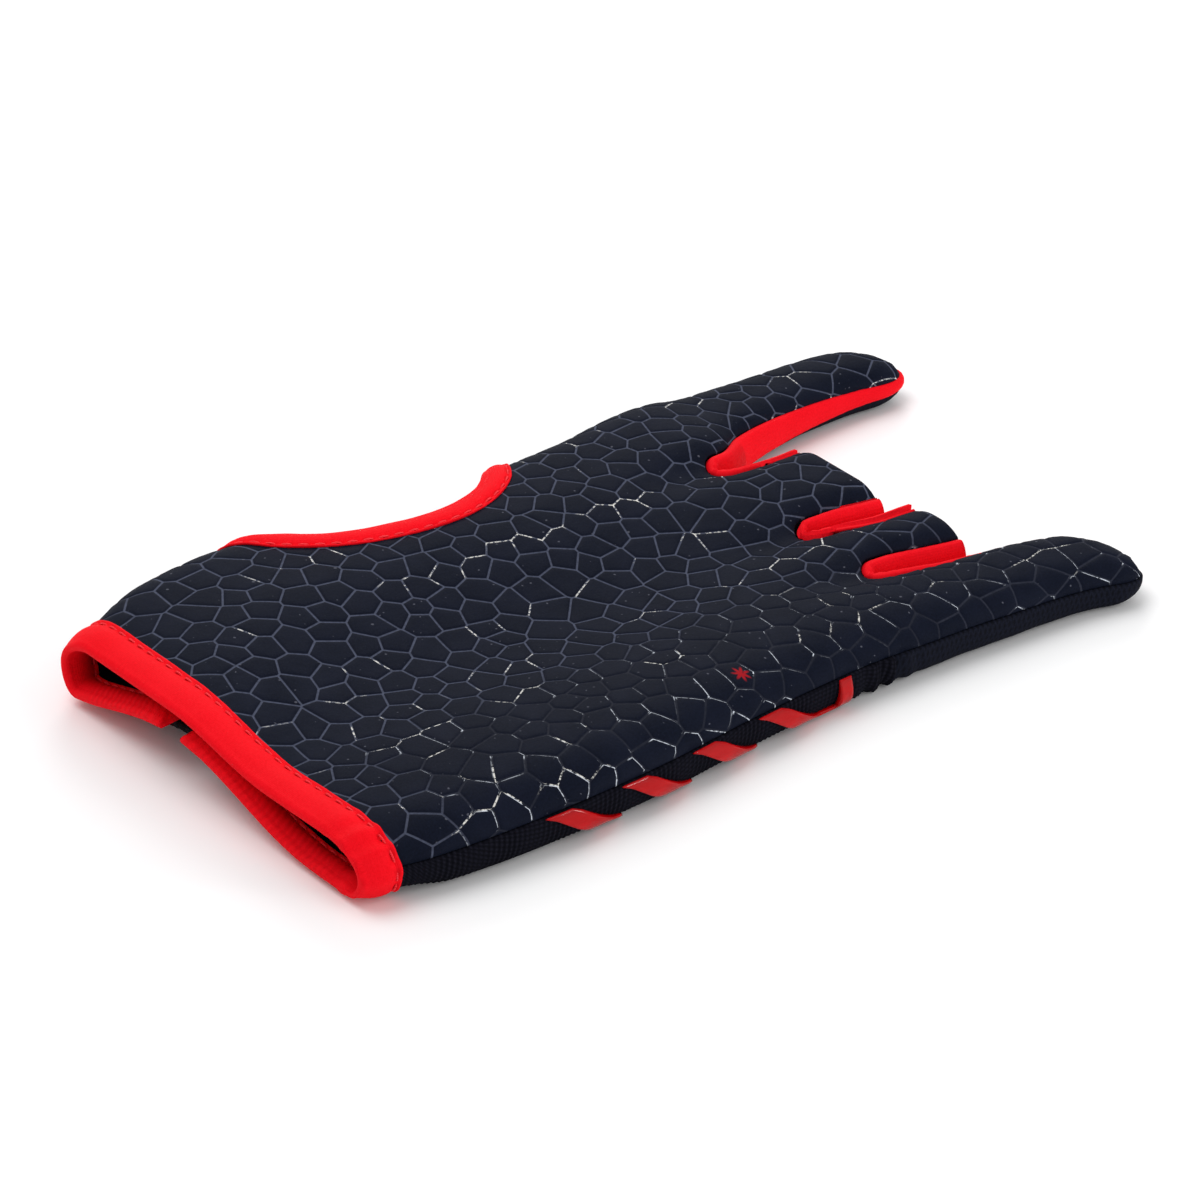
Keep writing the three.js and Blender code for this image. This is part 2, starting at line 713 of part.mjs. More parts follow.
// Round the wrist's edge, and in and out along the slit
const slitSpot = (row, side, reach) => (
  2 - slitAcross - side * (slitRadius + reach) * loopPerMm(row, false)
);
const slitRun = (row, side) => ({
  edge: [row, slitSpot(row, side, 0)],
  inner: [row, slitSpot(row, side, slitTapeWidth)],
});
const slitCorner = (side) => ({
  edge: [0, slitSpot(0, side, 0)],
  inner: [wristTapeWidth, slitSpot(wristTapeWidth, side, slitTapeWidth)],
  mitre: Math.SQRT2,
});
const slitCentre = slitLength - slitRadius;
const slitStraight = [0.12, 0.4, 0.7, 1].map((share) => (
  lerp(wristTapeWidth, slitCentre, share)
));
const seamLoop = 1 - seamRise * loopPerMm(0, true);
const wristLoops = [
  ...before.slice(1).reverse().map((stop) => backLoop(0, stop, -1)),
  4 - seamLoop,
  ...palmStops.slice(1, -1).map((stop) => 4 + handLoop(0, stop, true)),
  4 + seamLoop,
  ...after.slice(0, -1).reverse().map((stop) => 4 + backLoop(0, stop, 1)),
];
const nearSlit = slitSpot(wristTapeWidth, -1, slitTapeWidth + 1);
const farSlit = 4 + slitSpot(wristTapeWidth, 1, slitTapeWidth + 1);
const wristStations = [slitCorner(-1)];
for (const loop of wristLoops.filter((value) => value > nearSlit && value < farSlit)) {
  wristStations.push({ edge: [0, loop], inner: [wristTapeWidth, loop] });
}
wristStations.push(slitCorner(1));
slitStraight.forEach((row) => wristStations.push(slitRun(row, 1)));
for (const degrees of [60, 30, 0, -30, -60]) {
  const turn = degrees * degree;
  const spot = (radius) => {
    const row = slitCentre + radius * Math.cos(turn);
    return [row, 2 - slitAcross - radius * Math.sin(turn) * loopPerMm(row, false)];
  };
  wristStations.push({ edge: spot(slitRadius), inner: spot(slitRadius + slitTapeWidth) });
}
[...slitStraight].reverse().forEach((row) => wristStations.push(slitRun(row, -1)));

// Round the thumb hole
const palmDegrees = [0, 4, 9, 13, 18, 27, 36, 54, 72, 90, 108, 126, 144, 153, 162, 167, 171, 176];
const backDegrees = [0, 4, 9, 13, 18, 22, 27, 31, 36, 45, 54, 72, 90, 108, 126, 135, 144, 149,
  153, 158, 162, 167, 171, 176];
const thumbStations = [...palmDegrees, ...backDegrees.map((degrees) => degrees + 180)];
const thumbRing = thumbStations.map((degrees) => {
  const turn = degrees * degree;
  const onPalm = degrees <= 180;
  const depth = onPalm ? thumbHolePalmDepth : thumbHoleBackDepth;
  const spot = (reach) => {
    const row = thumbHoleMiddle - (thumbHoleLength / 2 + reach) * Math.cos(turn);
    const deep = (depth + reach) * Math.sin(turn) * loopPerMm(row, onPalm);
    return [row, 1 - seamRise * loopPerMm(row, true) - deep];
  };
  return { edge: spot(0), inner: spot(thumbTapeWidth) };
});

// The closure strap, under the back and across the slit
const strapSheet = new Sheet();
const strapRows = [0, 0.33, 0.67, 1].map((share) => strapStart + share * strapWidth);
const strapStops = [-1, -0.75, -0.5, -0.25, 0, 0.25, 0.5, 0.75, 1];
strapSheet.patch(strapRows, strapStops, (row, share) => (
  place(handPoint, row, 2 - slitAcross + share * strapLength / 2 * loopPerMm(row, false), 1)), false);
const strapLow = clothThickness / 2 + tapeRoom + seamGap;

// Film stripes on the little finger's side, from the seam down
const filmDrops = [0, 0.2, 0.4, 0.6, 0.8, 1];
const filmLow = clothThickness / 2 + seamGap;
function filmPlace(row, drop) {
  const below = seamGap + drop * stripeReach;
  const loop = -1 + seamRise * loopPerMm(row, true) - below * loopPerMm(row, false);
  return place(handPoint, row, loop, 1);
}
function stripe(start, hook) {
  const sheet = new Sheet();
  const left = (drop) => start + drop * stripeSlant;
  sheet.patch([0, 0.5, 1], filmDrops, (share, drop) => (
    filmPlace(left(drop) + share * stripeWidth, drop)), true);
  if (hook) {
    const right = start + stripeSlant + stripeWidth + hookGap;
    sheet.patch([0, 1], filmDrops, (share, drop) => (
      filmPlace(right + share * hookWidth, drop)), true);
    sheet.patch([0, 1], filmDrops.slice(-2), (share, drop) => (
      filmPlace(share ? right : left(drop) + stripeWidth, drop)), true);
  }
  return sheet;
}

const material = (name, colour, roughness) => new THREE.MeshStandardMaterial({
  name, color: colour, roughness, metalness: 0,
});
const group = new THREE.Group();
group.name = 'half_finger_glove';
function piece(name, geometry, colour, roughness) {
  const mesh = new THREE.Mesh(geometry, material(name, colour, roughness));
  mesh.name = name;
  group.add(mesh);
}
const navy = 0x1b1d2a;
const black = 0x0c0c10;
const red = 0xe61424;
const half = clothThickness / 2;
piece('palm_panel', palmSheet.solid(-half, half), navy, 0.8);
piece('back_panel', backSheet.solid(-half, half), black, 0.9);
piece('little_finger_back', littleBack.solid(-half, half), navy, 0.75);
piece('index_finger_back', indexBack.solid(-half, half), navy, 0.75);
piece('gusset_index_middle', gusset(2), red, 0.7);
piece('gusset_middle_ring', gusset(1), red, 0.7);
piece('gusset_ring_little', gusset(0), red, 0.7);
piece('wrist_tape', foldedTape(wristStations), red, 0.6);
piece('thumb_tape', foldedTape(thumbRing), red, 0.6);
piece('closure_strap', strapSheet.solid(strapLow, strapLow + strapThickness), black, 0.9);
for (let k = 0; k < stripeCount; k += 1) {
  const sheet = stripe(stripeStart + k * stripePitch, k === stripeCount - 1);
  piece(`stripe_${k + 1}`, sheet.solid(filmLow, filmLow + filmThickness), red, 0.25);
}

// The middle of the footprint is the origin.
const box = new THREE.Box3().setFromObject(group);
const centre = box.getCenter(new THREE.Vector3());
group.position.set(-centre.x, -centre.y, -box.min.z);
group.updateMatrixWorld(true);

export default group;
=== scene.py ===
"""Looks of a half-finger glove for the left hand, lying on its back, palm up."""
import math

import bmesh
import bpy
import numpy as np
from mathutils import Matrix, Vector
from mathutils.geometry import delaunay_2d_cdt


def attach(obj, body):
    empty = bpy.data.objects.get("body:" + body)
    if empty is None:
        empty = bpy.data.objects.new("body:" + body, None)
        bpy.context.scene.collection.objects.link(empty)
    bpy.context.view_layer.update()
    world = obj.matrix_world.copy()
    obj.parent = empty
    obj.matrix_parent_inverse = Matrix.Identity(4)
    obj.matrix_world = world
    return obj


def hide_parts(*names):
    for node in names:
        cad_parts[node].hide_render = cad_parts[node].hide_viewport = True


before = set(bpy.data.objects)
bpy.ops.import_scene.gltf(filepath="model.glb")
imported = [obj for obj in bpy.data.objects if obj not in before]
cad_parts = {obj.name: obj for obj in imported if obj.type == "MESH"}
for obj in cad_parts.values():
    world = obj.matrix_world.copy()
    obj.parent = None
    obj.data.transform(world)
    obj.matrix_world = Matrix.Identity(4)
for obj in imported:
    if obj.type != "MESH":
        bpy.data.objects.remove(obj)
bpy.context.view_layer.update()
RNG = np.random.default_rng(7)

# Sizes in millimetres, the same as the solids have. ORIGIN is where the frame's origin lies among them.
MM = 0.001
ORIGIN = np.array([93.834414720535278, -3.7402172088623047, 0.0])
PALM_LENGTH, PALM_WIDTH, PALM_HEIGHT = 128.0, 102.0, 15.0
PALM_ROUND, BACK_ROUND, SIDE_DEPTH, FINGER_ROUND = 9.5, 3.4, 6.0, 7.0
WRIST_SLANT, WRIST_SLANT_REACH = 0.055, 70.0
ARCH_HEIGHT, ARCH_WIDTH = 7.6, 80.0
WEB_DIP, WEB_DIP_WIDTH, WEB_DIP_REACH, WEB_LENGTH = 2.4, 5.5, 24.0, 16.0
SLOT_RADIUS, FINGER_BACK_REACH = 4.3, 12.0
CLOTH, SEAM_GAP, TAPE_GAP, SEAM_RISE, TAPE_THICK = 1.2, 0.3, 0.55, 1.3, 0.8
GUSSET_THICK, GUSSET_TIP_THICK, GUSSET_PUFF = 2.5, 1.0, 0.9
GUSSET_UP, GUSSET_DOWN, GUSSET_TIP_HALF, GUSSET_NARROWS = 4.6, 3.6, 1.5, 0.25
WRIST_TAPE, THUMB_TAPE, SLIT_TAPE = 7.5, 5.5, 4.5
HOLE_START, HOLE_LENGTH, HOLE_PALM, HOLE_BACK = 39.6, 54.0, 16.0, 10.0
SLIT_LENGTH, SLIT_WIDTH, SLIT_ACROSS, SLIT_FADE = 38.0, 8.0, 0.2, 50.0
STRAP_WIDTH, STRAP_LENGTH, STRAP_THICK, STRAP_START = 20.0, 32.0, 1.6, 11.0
STRIPE_START, STRIPE_PITCH, STRIPE_WIDTH, STRIPE_SLANT, STRIPE_REACH = 33.3, 16.3, 5.5, 12.0, 6.0
HOOK_GAP, HOOK_WIDTH = 2.5, 2.8
HALF = CLOTH / 2
TAPE_ROOM = TAPE_THICK + TAPE_GAP
TAPE_FADE = 8.0
TAPE_SPREAD = THUMB_TAPE + TAPE_FADE * 1.6
SEAM_SIDE = SEAM_GAP * 0.8
HOLE_MIDDLE = HOLE_START + HOLE_LENGTH / 2
BACK_START = PALM_LENGTH - FINGER_BACK_REACH
RIDGE_AT = -0.78
QUARTER = math.pi / 2

# Sizes that only the looks have: shares of the tape's width, lengths, the red fleck's place on the pattern
TAPE_SEEN, TAPE_INSIDE, TAPE_INSIDE_LESS, SEAM_AT = 0.84, 0.8, 0.2, 0.85
STRAP_MORE, FLOOR_GAP, WELD_REACH = 7.0, 0.02, 0.006
FLECK = (83.8, -46.4)

PALM = dict(
    at=[-0.08, 0, 0.1, 0.25, 0.45, 0.65, 0.85, 1, 1.2],
    ulnar=[-0.508, -0.514, -0.543, -0.558, -0.552, -0.523, -0.503, -0.507, -0.508],
    radial=[0.335, 0.368, 0.432, 0.466, 0.459, 0.434, 0.448, 0.476, 0.482],
    ridge=[0.71, 0.75, 0.8, 0.85, 0.86, 0.84, 0.8, 0.76, 0.74],
    hollow=[0.71, 0.73, 0.7, 0.66, 0.6, 0.58, 0.63, 0.72, 0.76],
    mound=[0.92, 0.98, 1.03, 1.02, 0.94, 0.92, 0.9, 0.92, 0.9],
    hollow_at=[-0.4, -0.4, -0.3, -0.15, -0.1, -0.1, -0.1, -0.1, -0.1],
    mound_at=[0.2, 0.25, 0.4, 0.55, 0.6, 0.6, 0.6, 0.6, 0.6],
    arch=[1, 1, 1, 0.75, 0, 0, 0, 0, 0],
)
FINGERS = [
    dict(name="little", length=48.0, width=19.0, height=9.6, tip=9.0,
         at=[0, 0.3, 0.6, 0.8, 1], middle=[-0.416, -0.418, -0.428, -0.446, -0.487],
         wide=[0.99, 1.02, 1.0, 0.98, 0.98], high=[1.1, 1.04, 0.98, 0.92, 0.84]),
    dict(name="ring", length=24.0, width=15.4, height=10.0, tip=0.0,
         at=[0, 0.5, 1], middle=[-0.189, -0.2, -0.212],
         wide=[0.72, 0.86, 1.0], high=[1.04, 1.02, 1.0]),
    dict(name="middle", length=20.0, width=26.0, height=11.4, tip=0.0,
         at=[0, 0.5, 1], middle=[0.038, 0.033, 0.028],
         wide=[0.8, 0.92, 1.0], high=[1.02, 1.02, 1.0]),
    dict(name="index", length=65.5, width=21.0, height=11.4, tip=10.0,
         at=[0, 0.12, 0.25, 0.4, 0.55, 0.7, 0.85, 1],
         middle=[0.342, 0.357, 0.38, 0.398, 0.408, 0.412, 0.406, 0.378],
         wide=[1.32, 1.2, 1.02, 0.9, 0.82, 0.78, 0.74, 0.68],
         high=[1.08, 0.99, 0.9, 0.83, 0.79, 0.78, 0.76, 0.7]),
]
CROTCHES = [-0.284 * PALM_WIDTH, -0.093 * PALM_WIDTH, 0.175 * PALM_WIDTH]


# The shape of the hand and the fingers
def lerp(a, b, t):
    return a + (b - a) * t


def smooth(t):
    s = np.clip(t, 0, 1)
    return s * s * (3 - 2 * s)


def column(table, at, name):
    xs, ys = np.array(table["at"], float), np.array(table[name], float)
    last = len(xs) - 1
    i = np.searchsorted(xs[1:last], at, side="left")
    k = np.arange(last + 1)
    a, b = np.maximum(k - 1, 0), np.minimum(k + 1, last)
    slope = (ys[b] - ys[a]) / (xs[b] - xs[a])
    span = xs[i + 1] - xs[i]
    t = np.clip((at - xs[i]) / span, 0, 1)
    rise = t * (1 - t) * span
    return lerp(ys[i], ys[i + 1], smooth(t)) + rise * ((1 - t) * slope[i] - t * slope[i + 1])


def split(half, rnd):
    radius = np.minimum(rnd, half * 0.95)
    flat = half - radius
    arc = (radius + SIDE_DEPTH) * 0.8
    return radius, flat, arc, flat + arc


def around(half, rnd, loop):
    radius, flat, arc, length = split(half, rnd)
    turn = np.abs(loop) * length
    angle = np.maximum(turn - flat, 0) / arc * QUARTER
    straight = turn <= flat
    across = np.where(straight, turn, flat + radius * np.sin(angle)) * np.sign(loop)
    return across, np.where(straight, 1.0, np.cos(angle))


def palm_table(x, size, *names):
    """The named columns of PALM at x, times size."""
    return [column(PALM, x / PALM_LENGTH, name) * size for name in names]


def hand_half(x):
    ulnar, radial = palm_table(x, PALM_WIDTH, "ulnar", "radial")
    return (ulnar + radial) / 2, (radial - ulnar) / 2


def palm_top(x, y, middle, half):
    ridge, hollow, mound = palm_table(x, PALM_HEIGHT, "ridge", "hollow", "mound")
    hollow_at, mound_at = palm_table(x, 1, "hollow_at", "mound_at")
    share = (y - middle) / half
    height = lerp(ridge, hollow, smooth((share - RIDGE_AT) / (hollow_at - RIDGE_AT)))
    height = lerp(height, mound, smooth((share - hollow_at) / (mound_at - hollow_at)))
    near = smooth((x - PALM_LENGTH + WEB_DIP_REACH) / WEB_DIP_REACH)
    for crotch in CROTCHES:
        height = height - WEB_DIP * near * np.exp(-((y - crotch) / WEB_DIP_WIDTH) ** 2)
    return height


def palm_bottom(x, row, y, middle, half):
    away = np.clip((y - middle - SLIT_ACROSS * half) / (ARCH_WIDTH / 2), -1, 1)
    arch = np.maximum(0, column(PALM, x / PALM_LENGTH, "arch")) * ARCH_HEIGHT
    arch = arch * np.cos(away * QUARTER) ** 2
    at_wrist = 1 - smooth((row - WRIST_TAPE - 1) / TAPE_FADE)
    hole_away = (HOLE_LENGTH / 2 + TAPE_SPREAD - np.abs(row - HOLE_MIDDLE)) / TAPE_FADE
    side_away = (y - middle - half + HOLE_BACK + TAPE_SPREAD) / TAPE_FADE
    at_hole = smooth(hole_away) * smooth(side_away)
    return HALF + arch + TAPE_ROOM * np.maximum(at_wrist, at_hole)


def wrapped(loop):
    """The same place of the loop round the hand, counted from -1 to 3."""
    return loop - 4 * np.floor((loop + 1) / 4)


def hand(row, loop):
    row, loop = np.broadcast_arrays(np.asarray(row, float), np.asarray(loop, float))
    turn = wrapped(loop)
    on_palm = turn <= 1
    rnd = np.where(on_palm, PALM_ROUND, BACK_ROUND)
    turn = np.where(on_palm, turn, 2 - turn)
    middle, half = hand_half(row)
    loose = around(half, rnd, turn)[0]
    near = np.maximum(0, 1 - row / WRIST_SLANT_REACH)
    x = row - WRIST_SLANT * (loose + half) * near * near
    middle, half = hand_half(x)
    across, rise = around(half, rnd, turn)
    y = middle + across
    share = np.clip(across / half, -1, 1)
    bottom = palm_bottom(x, row, y, middle, half)
    ridge, mound = palm_table(x, PALM_HEIGHT, "ridge", "mound")
    side = (lerp(ridge, mound, (share + 1) / 2) + HALF) / 2
    level = np.where(on_palm, palm_top(x, y, middle, half), bottom)
    return np.stack([x, y, side + (level - side) * rise], -1)


def per_mm(row, on_palm):
    return 1 / split(hand_half(row)[1], PALM_ROUND if on_palm else BACK_ROUND)[3]


def loop_at(row, y, on_palm):
    return (y - hand_half(row)[0]) * per_mm(row, on_palm)


def side_loop(row, on_palm):
    return 1 - ((SEAM_RISE if on_palm else -SEAM_RISE) + SEAM_SIDE) * per_mm(row, True)


def dome(finger, row):
    if not finger["tip"]:
        return np.ones_like(row)
    into = np.clip((row - PALM_LENGTH - finger["length"]) / finger["tip"] + 1, 0, 1)
    return np.sqrt(np.maximum(0, 1 - into * into))


def finger_facts(finger, row):
    """A row's share of a finger's length, half the width there, and how far the tip has drawn in."""
    at = (row - PALM_LENGTH) / finger["length"]
    return at, column(finger, at, "wide") * finger["width"] / 2, dome(finger, row)


def finger_spot(finger, row, loop, on_palm):
    at, half, drawn = finger_facts(finger, row)
    top = column(finger, at, "high") * finger["height"] + HALF
    side = (top + HALF) / 2
    past = np.abs(loop) > 1
    over = past != on_palm
    turn = np.where(past, np.sign(loop) * 2 - loop, loop)
    across, rise = around(half, np.where(over, FINGER_ROUND, BACK_ROUND), turn)
    y = column(finger, at, "middle") * PALM_WIDTH + drawn * across
    level = np.where(over, top, HALF)
    return np.stack([row, y, side + (level - side) * drawn * rise], -1)


def slot_half(past):
    left = 1 - np.clip(past / SLOT_RADIUS, 0, 1)
    return SLOT_RADIUS * np.sqrt(1 - left * left)


def finger_seams(index, row, on_palm):
    finger = FINGERS[index]
    at, half, drawn = finger_facts(finger, row)
    reach = np.maximum(split(half, FINGER_ROUND if on_palm else BACK_ROUND)[3] * drawn, 1e-6)
    closing = smooth((at - GUSSET_NARROWS) / (1 - GUSSET_NARROWS)) if finger["tip"] else 0
    inner = 1 - lerp(GUSSET_UP if on_palm else GUSSET_DOWN, GUSSET_TIP_HALF, closing) / reach
    rise = SEAM_RISE * drawn
    side_reach = np.maximum(split(half, FINGER_ROUND)[3] * drawn, 1e-6)
    outer = 1 - ((rise if on_palm else -rise) + SEAM_SIDE) / side_reach
    return (-outer if index == 0 else -inner), (outer if index == 3 else inner)


def finger_sides(index, row, on_palm, apart=0.0):
    open_ = np.maximum(slot_half(row - PALM_LENGTH), apart)
    side = side_loop(row, on_palm)
    low = -side if index == 0 else loop_at(row, CROTCHES[index - 1] + open_, on_palm)
    high = side if index == 3 else loop_at(row, CROTCHES[index] - open_, on_palm)
    return low, high


def finger(index, row, across, on_palm, apart=0.0):
    row, across = np.broadcast_arrays(np.asarray(row, float), np.asarray(across, float))
    low, high = finger_sides(index, row, on_palm, apart)
    wide = lerp(low, high, across)
    flat = hand(row, wide if on_palm else 2 - wide)
    seam_low, seam_high = finger_seams(index, row, on_palm)
    rounded = finger_spot(FINGERS[index], row, lerp(seam_low, seam_high, across), on_palm)
    return lerp(flat, rounded, smooth((row - PALM_LENGTH) / WEB_LENGTH)[..., None])


def unit(v):
    return v / np.maximum(np.linalg.norm(v, axis=-1, keepdims=True), 1e-12)


def placed(surface, u, v, outward=1.0, step_u=0.02, step_v=0.0008):
    du = surface(u + step_u, v) - surface(u - step_u, v)
    dv = surface(u, v + step_v) - surface(u, v - step_v)
    return surface(u, v), unit(np.cross(du, dv)) * outward


def hole_depth(row, on_palm):
    away = (row - HOLE_MIDDLE) / (HOLE_LENGTH / 2)
    depth = HOLE_PALM if on_palm else HOLE_BACK
    return depth * np.sqrt(np.maximum(0, 1 - away * away)) * per_mm(row, on_palm)


# The palm's flat pattern: x along the hand, w across it in millimetres of cloth
def hand_flat(row):
    middle, half = hand_half(row)
    return middle, split(half, PALM_ROUND)[3]


def finger_flat(index, row):
    """The pattern's two edges along a finger."""
    low, high = finger_sides(index, row, True)
    middle, length = hand_flat(row)
    one = FINGERS[index]
    at, half, drawn = finger_facts(one, row)
    reach = split(half, FINGER_ROUND)[3] * drawn
    seam_low, seam_high = finger_seams(index, row, True)
    centre = column(one, at, "middle") * PALM_WIDTH
    blend = smooth((row - PALM_LENGTH) / WEB_LENGTH)
    return (lerp(middle + low * length, centre + seam_low * reach, blend),
            lerp(middle + high * length, centre + seam_high * reach, blend))


def palm_spot(x, w):
    x, w = np.broadcast_arrays(np.asarray(x, float), np.asarray(w, float))
    middle, length = hand_flat(x)
    out = hand(x, (w - middle) / length)
    past = x > PALM_LENGTH
    which = np.searchsorted(CROTCHES, w)
    for index in range(4):
        here = past & (which == index)
        if here.any():
            low, high = finger_flat(index, x[here])
            span = np.maximum(high - low, 1e-4)
            out[here] = finger(index, x[here], (w[here] - low) / span, True)
    return out


def finger_rows(one, step=1.0):
    turn = np.linspace(0, QUARTER, 10)[1:]
    rows = list(SLOT_RADIUS * (1 - np.cos(turn)))
    straight = one["length"] - one["tip"]
    rows += list(np.linspace(SLOT_RADIUS, straight, max(2, round((straight - SLOT_RADIUS) / step)))[1:])
    if one["tip"]:
        rows += list(straight + one["tip"] * np.sin(np.linspace(0, 86, 13)[1:] * math.pi / 180))
    return PALM_LENGTH + np.array(rows)


def palm_outline():
    """The pattern's edge, anticlockwise from the wrist's corner on the little finger's side."""
    def side_w(row, high):
        middle, length = hand_flat(row)
        reach = side_loop(row, True) * length
        return middle + (reach - hole_depth(row, True) * length if high else -reach)

    edge = []
    for index, one in enumerate(FINGERS):
        rows = finger_rows(one)
        low, high = finger_flat(index, rows)
        if index == 0:
            whole = np.linspace(0, PALM_LENGTH, 110)
            edge += list(zip(whole, side_w(whole, False)))
        edge += list(zip(rows, low))
        if one["tip"]:
            edge.append((PALM_LENGTH + one["length"] - 0.01, (low[-1] + high[-1]) / 2))
        else:
            edge += [(rows[-1], lerp(low[-1], high[-1], t)) for t in np.linspace(0, 1, 14)[1:-1]]
        edge += list(zip(rows[::-1], high[::-1]))
        if index < 3:
            edge.append((PALM_LENGTH, CROTCHES[index]))
    hole = HOLE_MIDDLE - HOLE_LENGTH / 2 * np.cos(np.linspace(math.pi, 0, 60))
    back = np.concatenate([np.linspace(PALM_LENGTH, HOLE_START + HOLE_LENGTH, 30)[:-1], hole,
                           np.linspace(HOLE_START, 0, 34)[1:]])
    edge += list(zip(back, side_w(back, True)))
    last = side_w(np.array([0.0]), False)[0]
    first = edge[-1][1]
    edge += [(0.0, lerp(first, last, t)) for t in np.linspace(0, 1, 90)[1:-1]]
    return np.array(edge)


def in_parts(points, work, size=8000):
    """What work says of the points, a part of them at a time."""
    return np.concatenate([work(points[k:k + size]) for k in range(0, len(points), size)])


def inside(points, polygon):
    """Whether each point is inside the polygon."""
    ax, ay = polygon.T
    bx, by = np.roll(ax, -1), np.roll(ay, -1)

    def part(p):
        px, py = p[:, :1], p[:, 1:]
        crosses = (ay > py) != (by > py)
        at = ax + (py - ay) / np.where(by == ay, 1e-12, by - ay) * (bx - ax)
        return (crosses & (px < at)).sum(1) % 2 == 1

    return in_parts(points, part)


def edge_distance(points, polygon):
    """How far each point is from the polygon's edge."""
    ab = np.roll(polygon, -1, 0) - polygon
    size = np.maximum((ab ** 2).sum(1), 1e-12)

    def part(p):
        ap = p[:, None] - polygon
        t = np.clip((ap * ab).sum(2) / size, 0, 1)
        return np.sqrt(((ap - t[..., None] * ab) ** 2).sum(2).min(1))

    return in_parts(points, part)


# The raised cells of the palm's print, with a groove between each two
GROOVE = (0.0, 0.16, 0.32, 0.75, 1.4)
CELL_STEP, CELL_ROWS, CELL_SHIFT, CELLS_LEFT_OUT, CELL_REACH = 6.2, 0.866, 0.29, 0.05, 9
# The last of these is the way on the pattern from which the lines' painted highlight comes
PAIR_PRIMES, PAIR_KINDS, PAINTED_LIGHT_WAY = (7919, 104729), 997, np.array([0.87, 0.5])


def cell_seeds(polygon):
    low, high = polygon.min(0) - CELL_REACH, polygon.max(0) + CELL_REACH
    rows = np.arange(low[1], high[1], CELL_STEP * CELL_ROWS)
    seeds = np.array([(x, w) for k, w in enumerate(rows)
                      for x in np.arange(low[0] + (k % 2) * CELL_STEP / 2, high[0], CELL_STEP)])
    seeds = seeds + RNG.uniform(-CELL_SHIFT, CELL_SHIFT, seeds.shape) * CELL_STEP
    seeds = seeds[RNG.random(len(seeds)) > CELLS_LEFT_OUT]
    near = inside(seeds, polygon) | (edge_distance(seeds, polygon) < CELL_REACH)
    return seeds[near]


def cell(seeds, i, near, depth):
    """Cell i, shrunk by depth: the part of the plane that is nearest to its seed."""
    s = seeds[i]
    shape = [s + CELL_REACH * np.array(p) for p in ((-1, -1), (1, -1), (1, 1), (-1, 1))]
    for j in near:
        to = seeds[j] - s
        gap = np.linalg.norm(to)
        way = to / gap
        limit = gap / 2 - depth
        cut = []
        for k, p in enumerate(shape):
            q = shape[(k + 1) % len(shape)]
            dp, dq = (p - s) @ way - limit, (q - s) @ way - limit
            if dp <= 0:
                cut.append(p)
            if (dp < 0 < dq) or (dq < 0 < dp):
                cut.append(p + (q - p) * (dp / (dp - dq)))
        shape = cut
        if len(shape) < 3:
            return []
    return shape


def cell_mesh(polygon):
    """Triangles of the pattern whose edges follow the cells, and each point's cell facts."""
    seeds = cell_seeds(polygon)
    gaps = np.linalg.norm(seeds[:, None] - seeds[None], axis=2)
    order = np.argsort(gaps, 1)[:, 1:17]
    points, edges = [], []

    def ring(corners, step):
        first = len(points)
        for k, p in enumerate(corners):
            q = corners[(k + 1) % len(corners)]
            n = max(1, round(np.linalg.norm(p - q) / step))
            if tuple(p) > tuple(q):
                points.extend(q + (p - q) * t / n for t in range(n, 0, -1))
            else:
                points.extend(p + (q - p) * t / n for t in range(n))
        count = len(points) - first
        edges.extend((first + k, first + (k + 1) % count) for k in range(count))

    ring(list(polygon), 1.4)
    for i in range(len(seeds)):
        for depth in GROOVE:
            shape = cell(seeds, i, order[i], depth)
            if len(shape) >= 3:
                ring(shape, 1.3 if depth < 1 else 1.7)
    low, high = polygon.min(0), polygon.max(0)
    grid = np.array([(x + (k % 2) * 0.85, w) for k, w in enumerate(np.arange(low[1], high[1], 1.5))
                     for x in np.arange(low[0], high[0], 1.7)])
    grid = grid[inside(grid, polygon)]
    deep = cell_facts(seeds, order, grid)[0] > GROOVE[-1] + 0.7
    grid = grid[deep & (edge_distance(grid, polygon) > 0.7)]
    flat = [Vector(p) for p in points] + [Vector(p) for p in grid]
    out = delaunay_2d_cdt(flat, edges, [], 0, 1e-4)
    verts = np.array([tuple(p) for p in out[0]])
    tris = np.array([f for f in out[2] if len(f) == 3])
    tris = tris[inside(verts[tris].mean(1), polygon)]
    used, tris = np.unique(tris, return_inverse=True)
    verts, tris = verts[used], tris.reshape(-1, 3)
    a, b, c = (verts[tris[:, k]] for k in range(3))
    turned = (b[:, 0] - a[:, 0]) * (c[:, 1] - a[:, 1]) < (b[:, 1] - a[:, 1]) * (c[:, 0] - a[:, 0])
    tris[turned] = tris[turned][:, ::-1]
    return verts, tris, cell_facts(seeds, order, verts)


def cell_facts(seeds, order, points):
    """Each point's distance from its cell's edge, that edge's own number, and how far that edge faces the
    way the lines' painted highlight comes from.
    """
    def part(p):
        mine = np.argmin(((p[:, None] - seeds[None]) ** 2).sum(2), 1)
        others = order[mine]
        to = seeds[others] - seeds[mine][:, None]
        gap = np.linalg.norm(to, axis=2)
        middle = (seeds[others] + seeds[mine][:, None]) / 2
        away = ((middle - p[:, None]) * to).sum(2) / gap
        nearest = (np.arange(len(p)), np.argmin(away, 1))
        other = others[nearest]
        pair = np.minimum(mine, other) * PAIR_PRIMES[0] + np.maximum(mine, other) * PAIR_PRIMES[1]
        way = to[nearest] / gap[nearest][:, None]
        return np.stack([np.maximum(away[nearest], 0), pair % PAIR_KINDS / PAIR_KINDS, way @ PAINTED_LIGHT_WAY], 1)

    return in_parts(points, part).T


# Meshes
def linked(name, data):
    made = bpy.data.objects.new(name, data)
    bpy.context.scene.collection.objects.link(made)
    return made


def above_floor(points):
    points[:, 2] = np.maximum(points[:, 2], FLOOR_GAP)
    return points


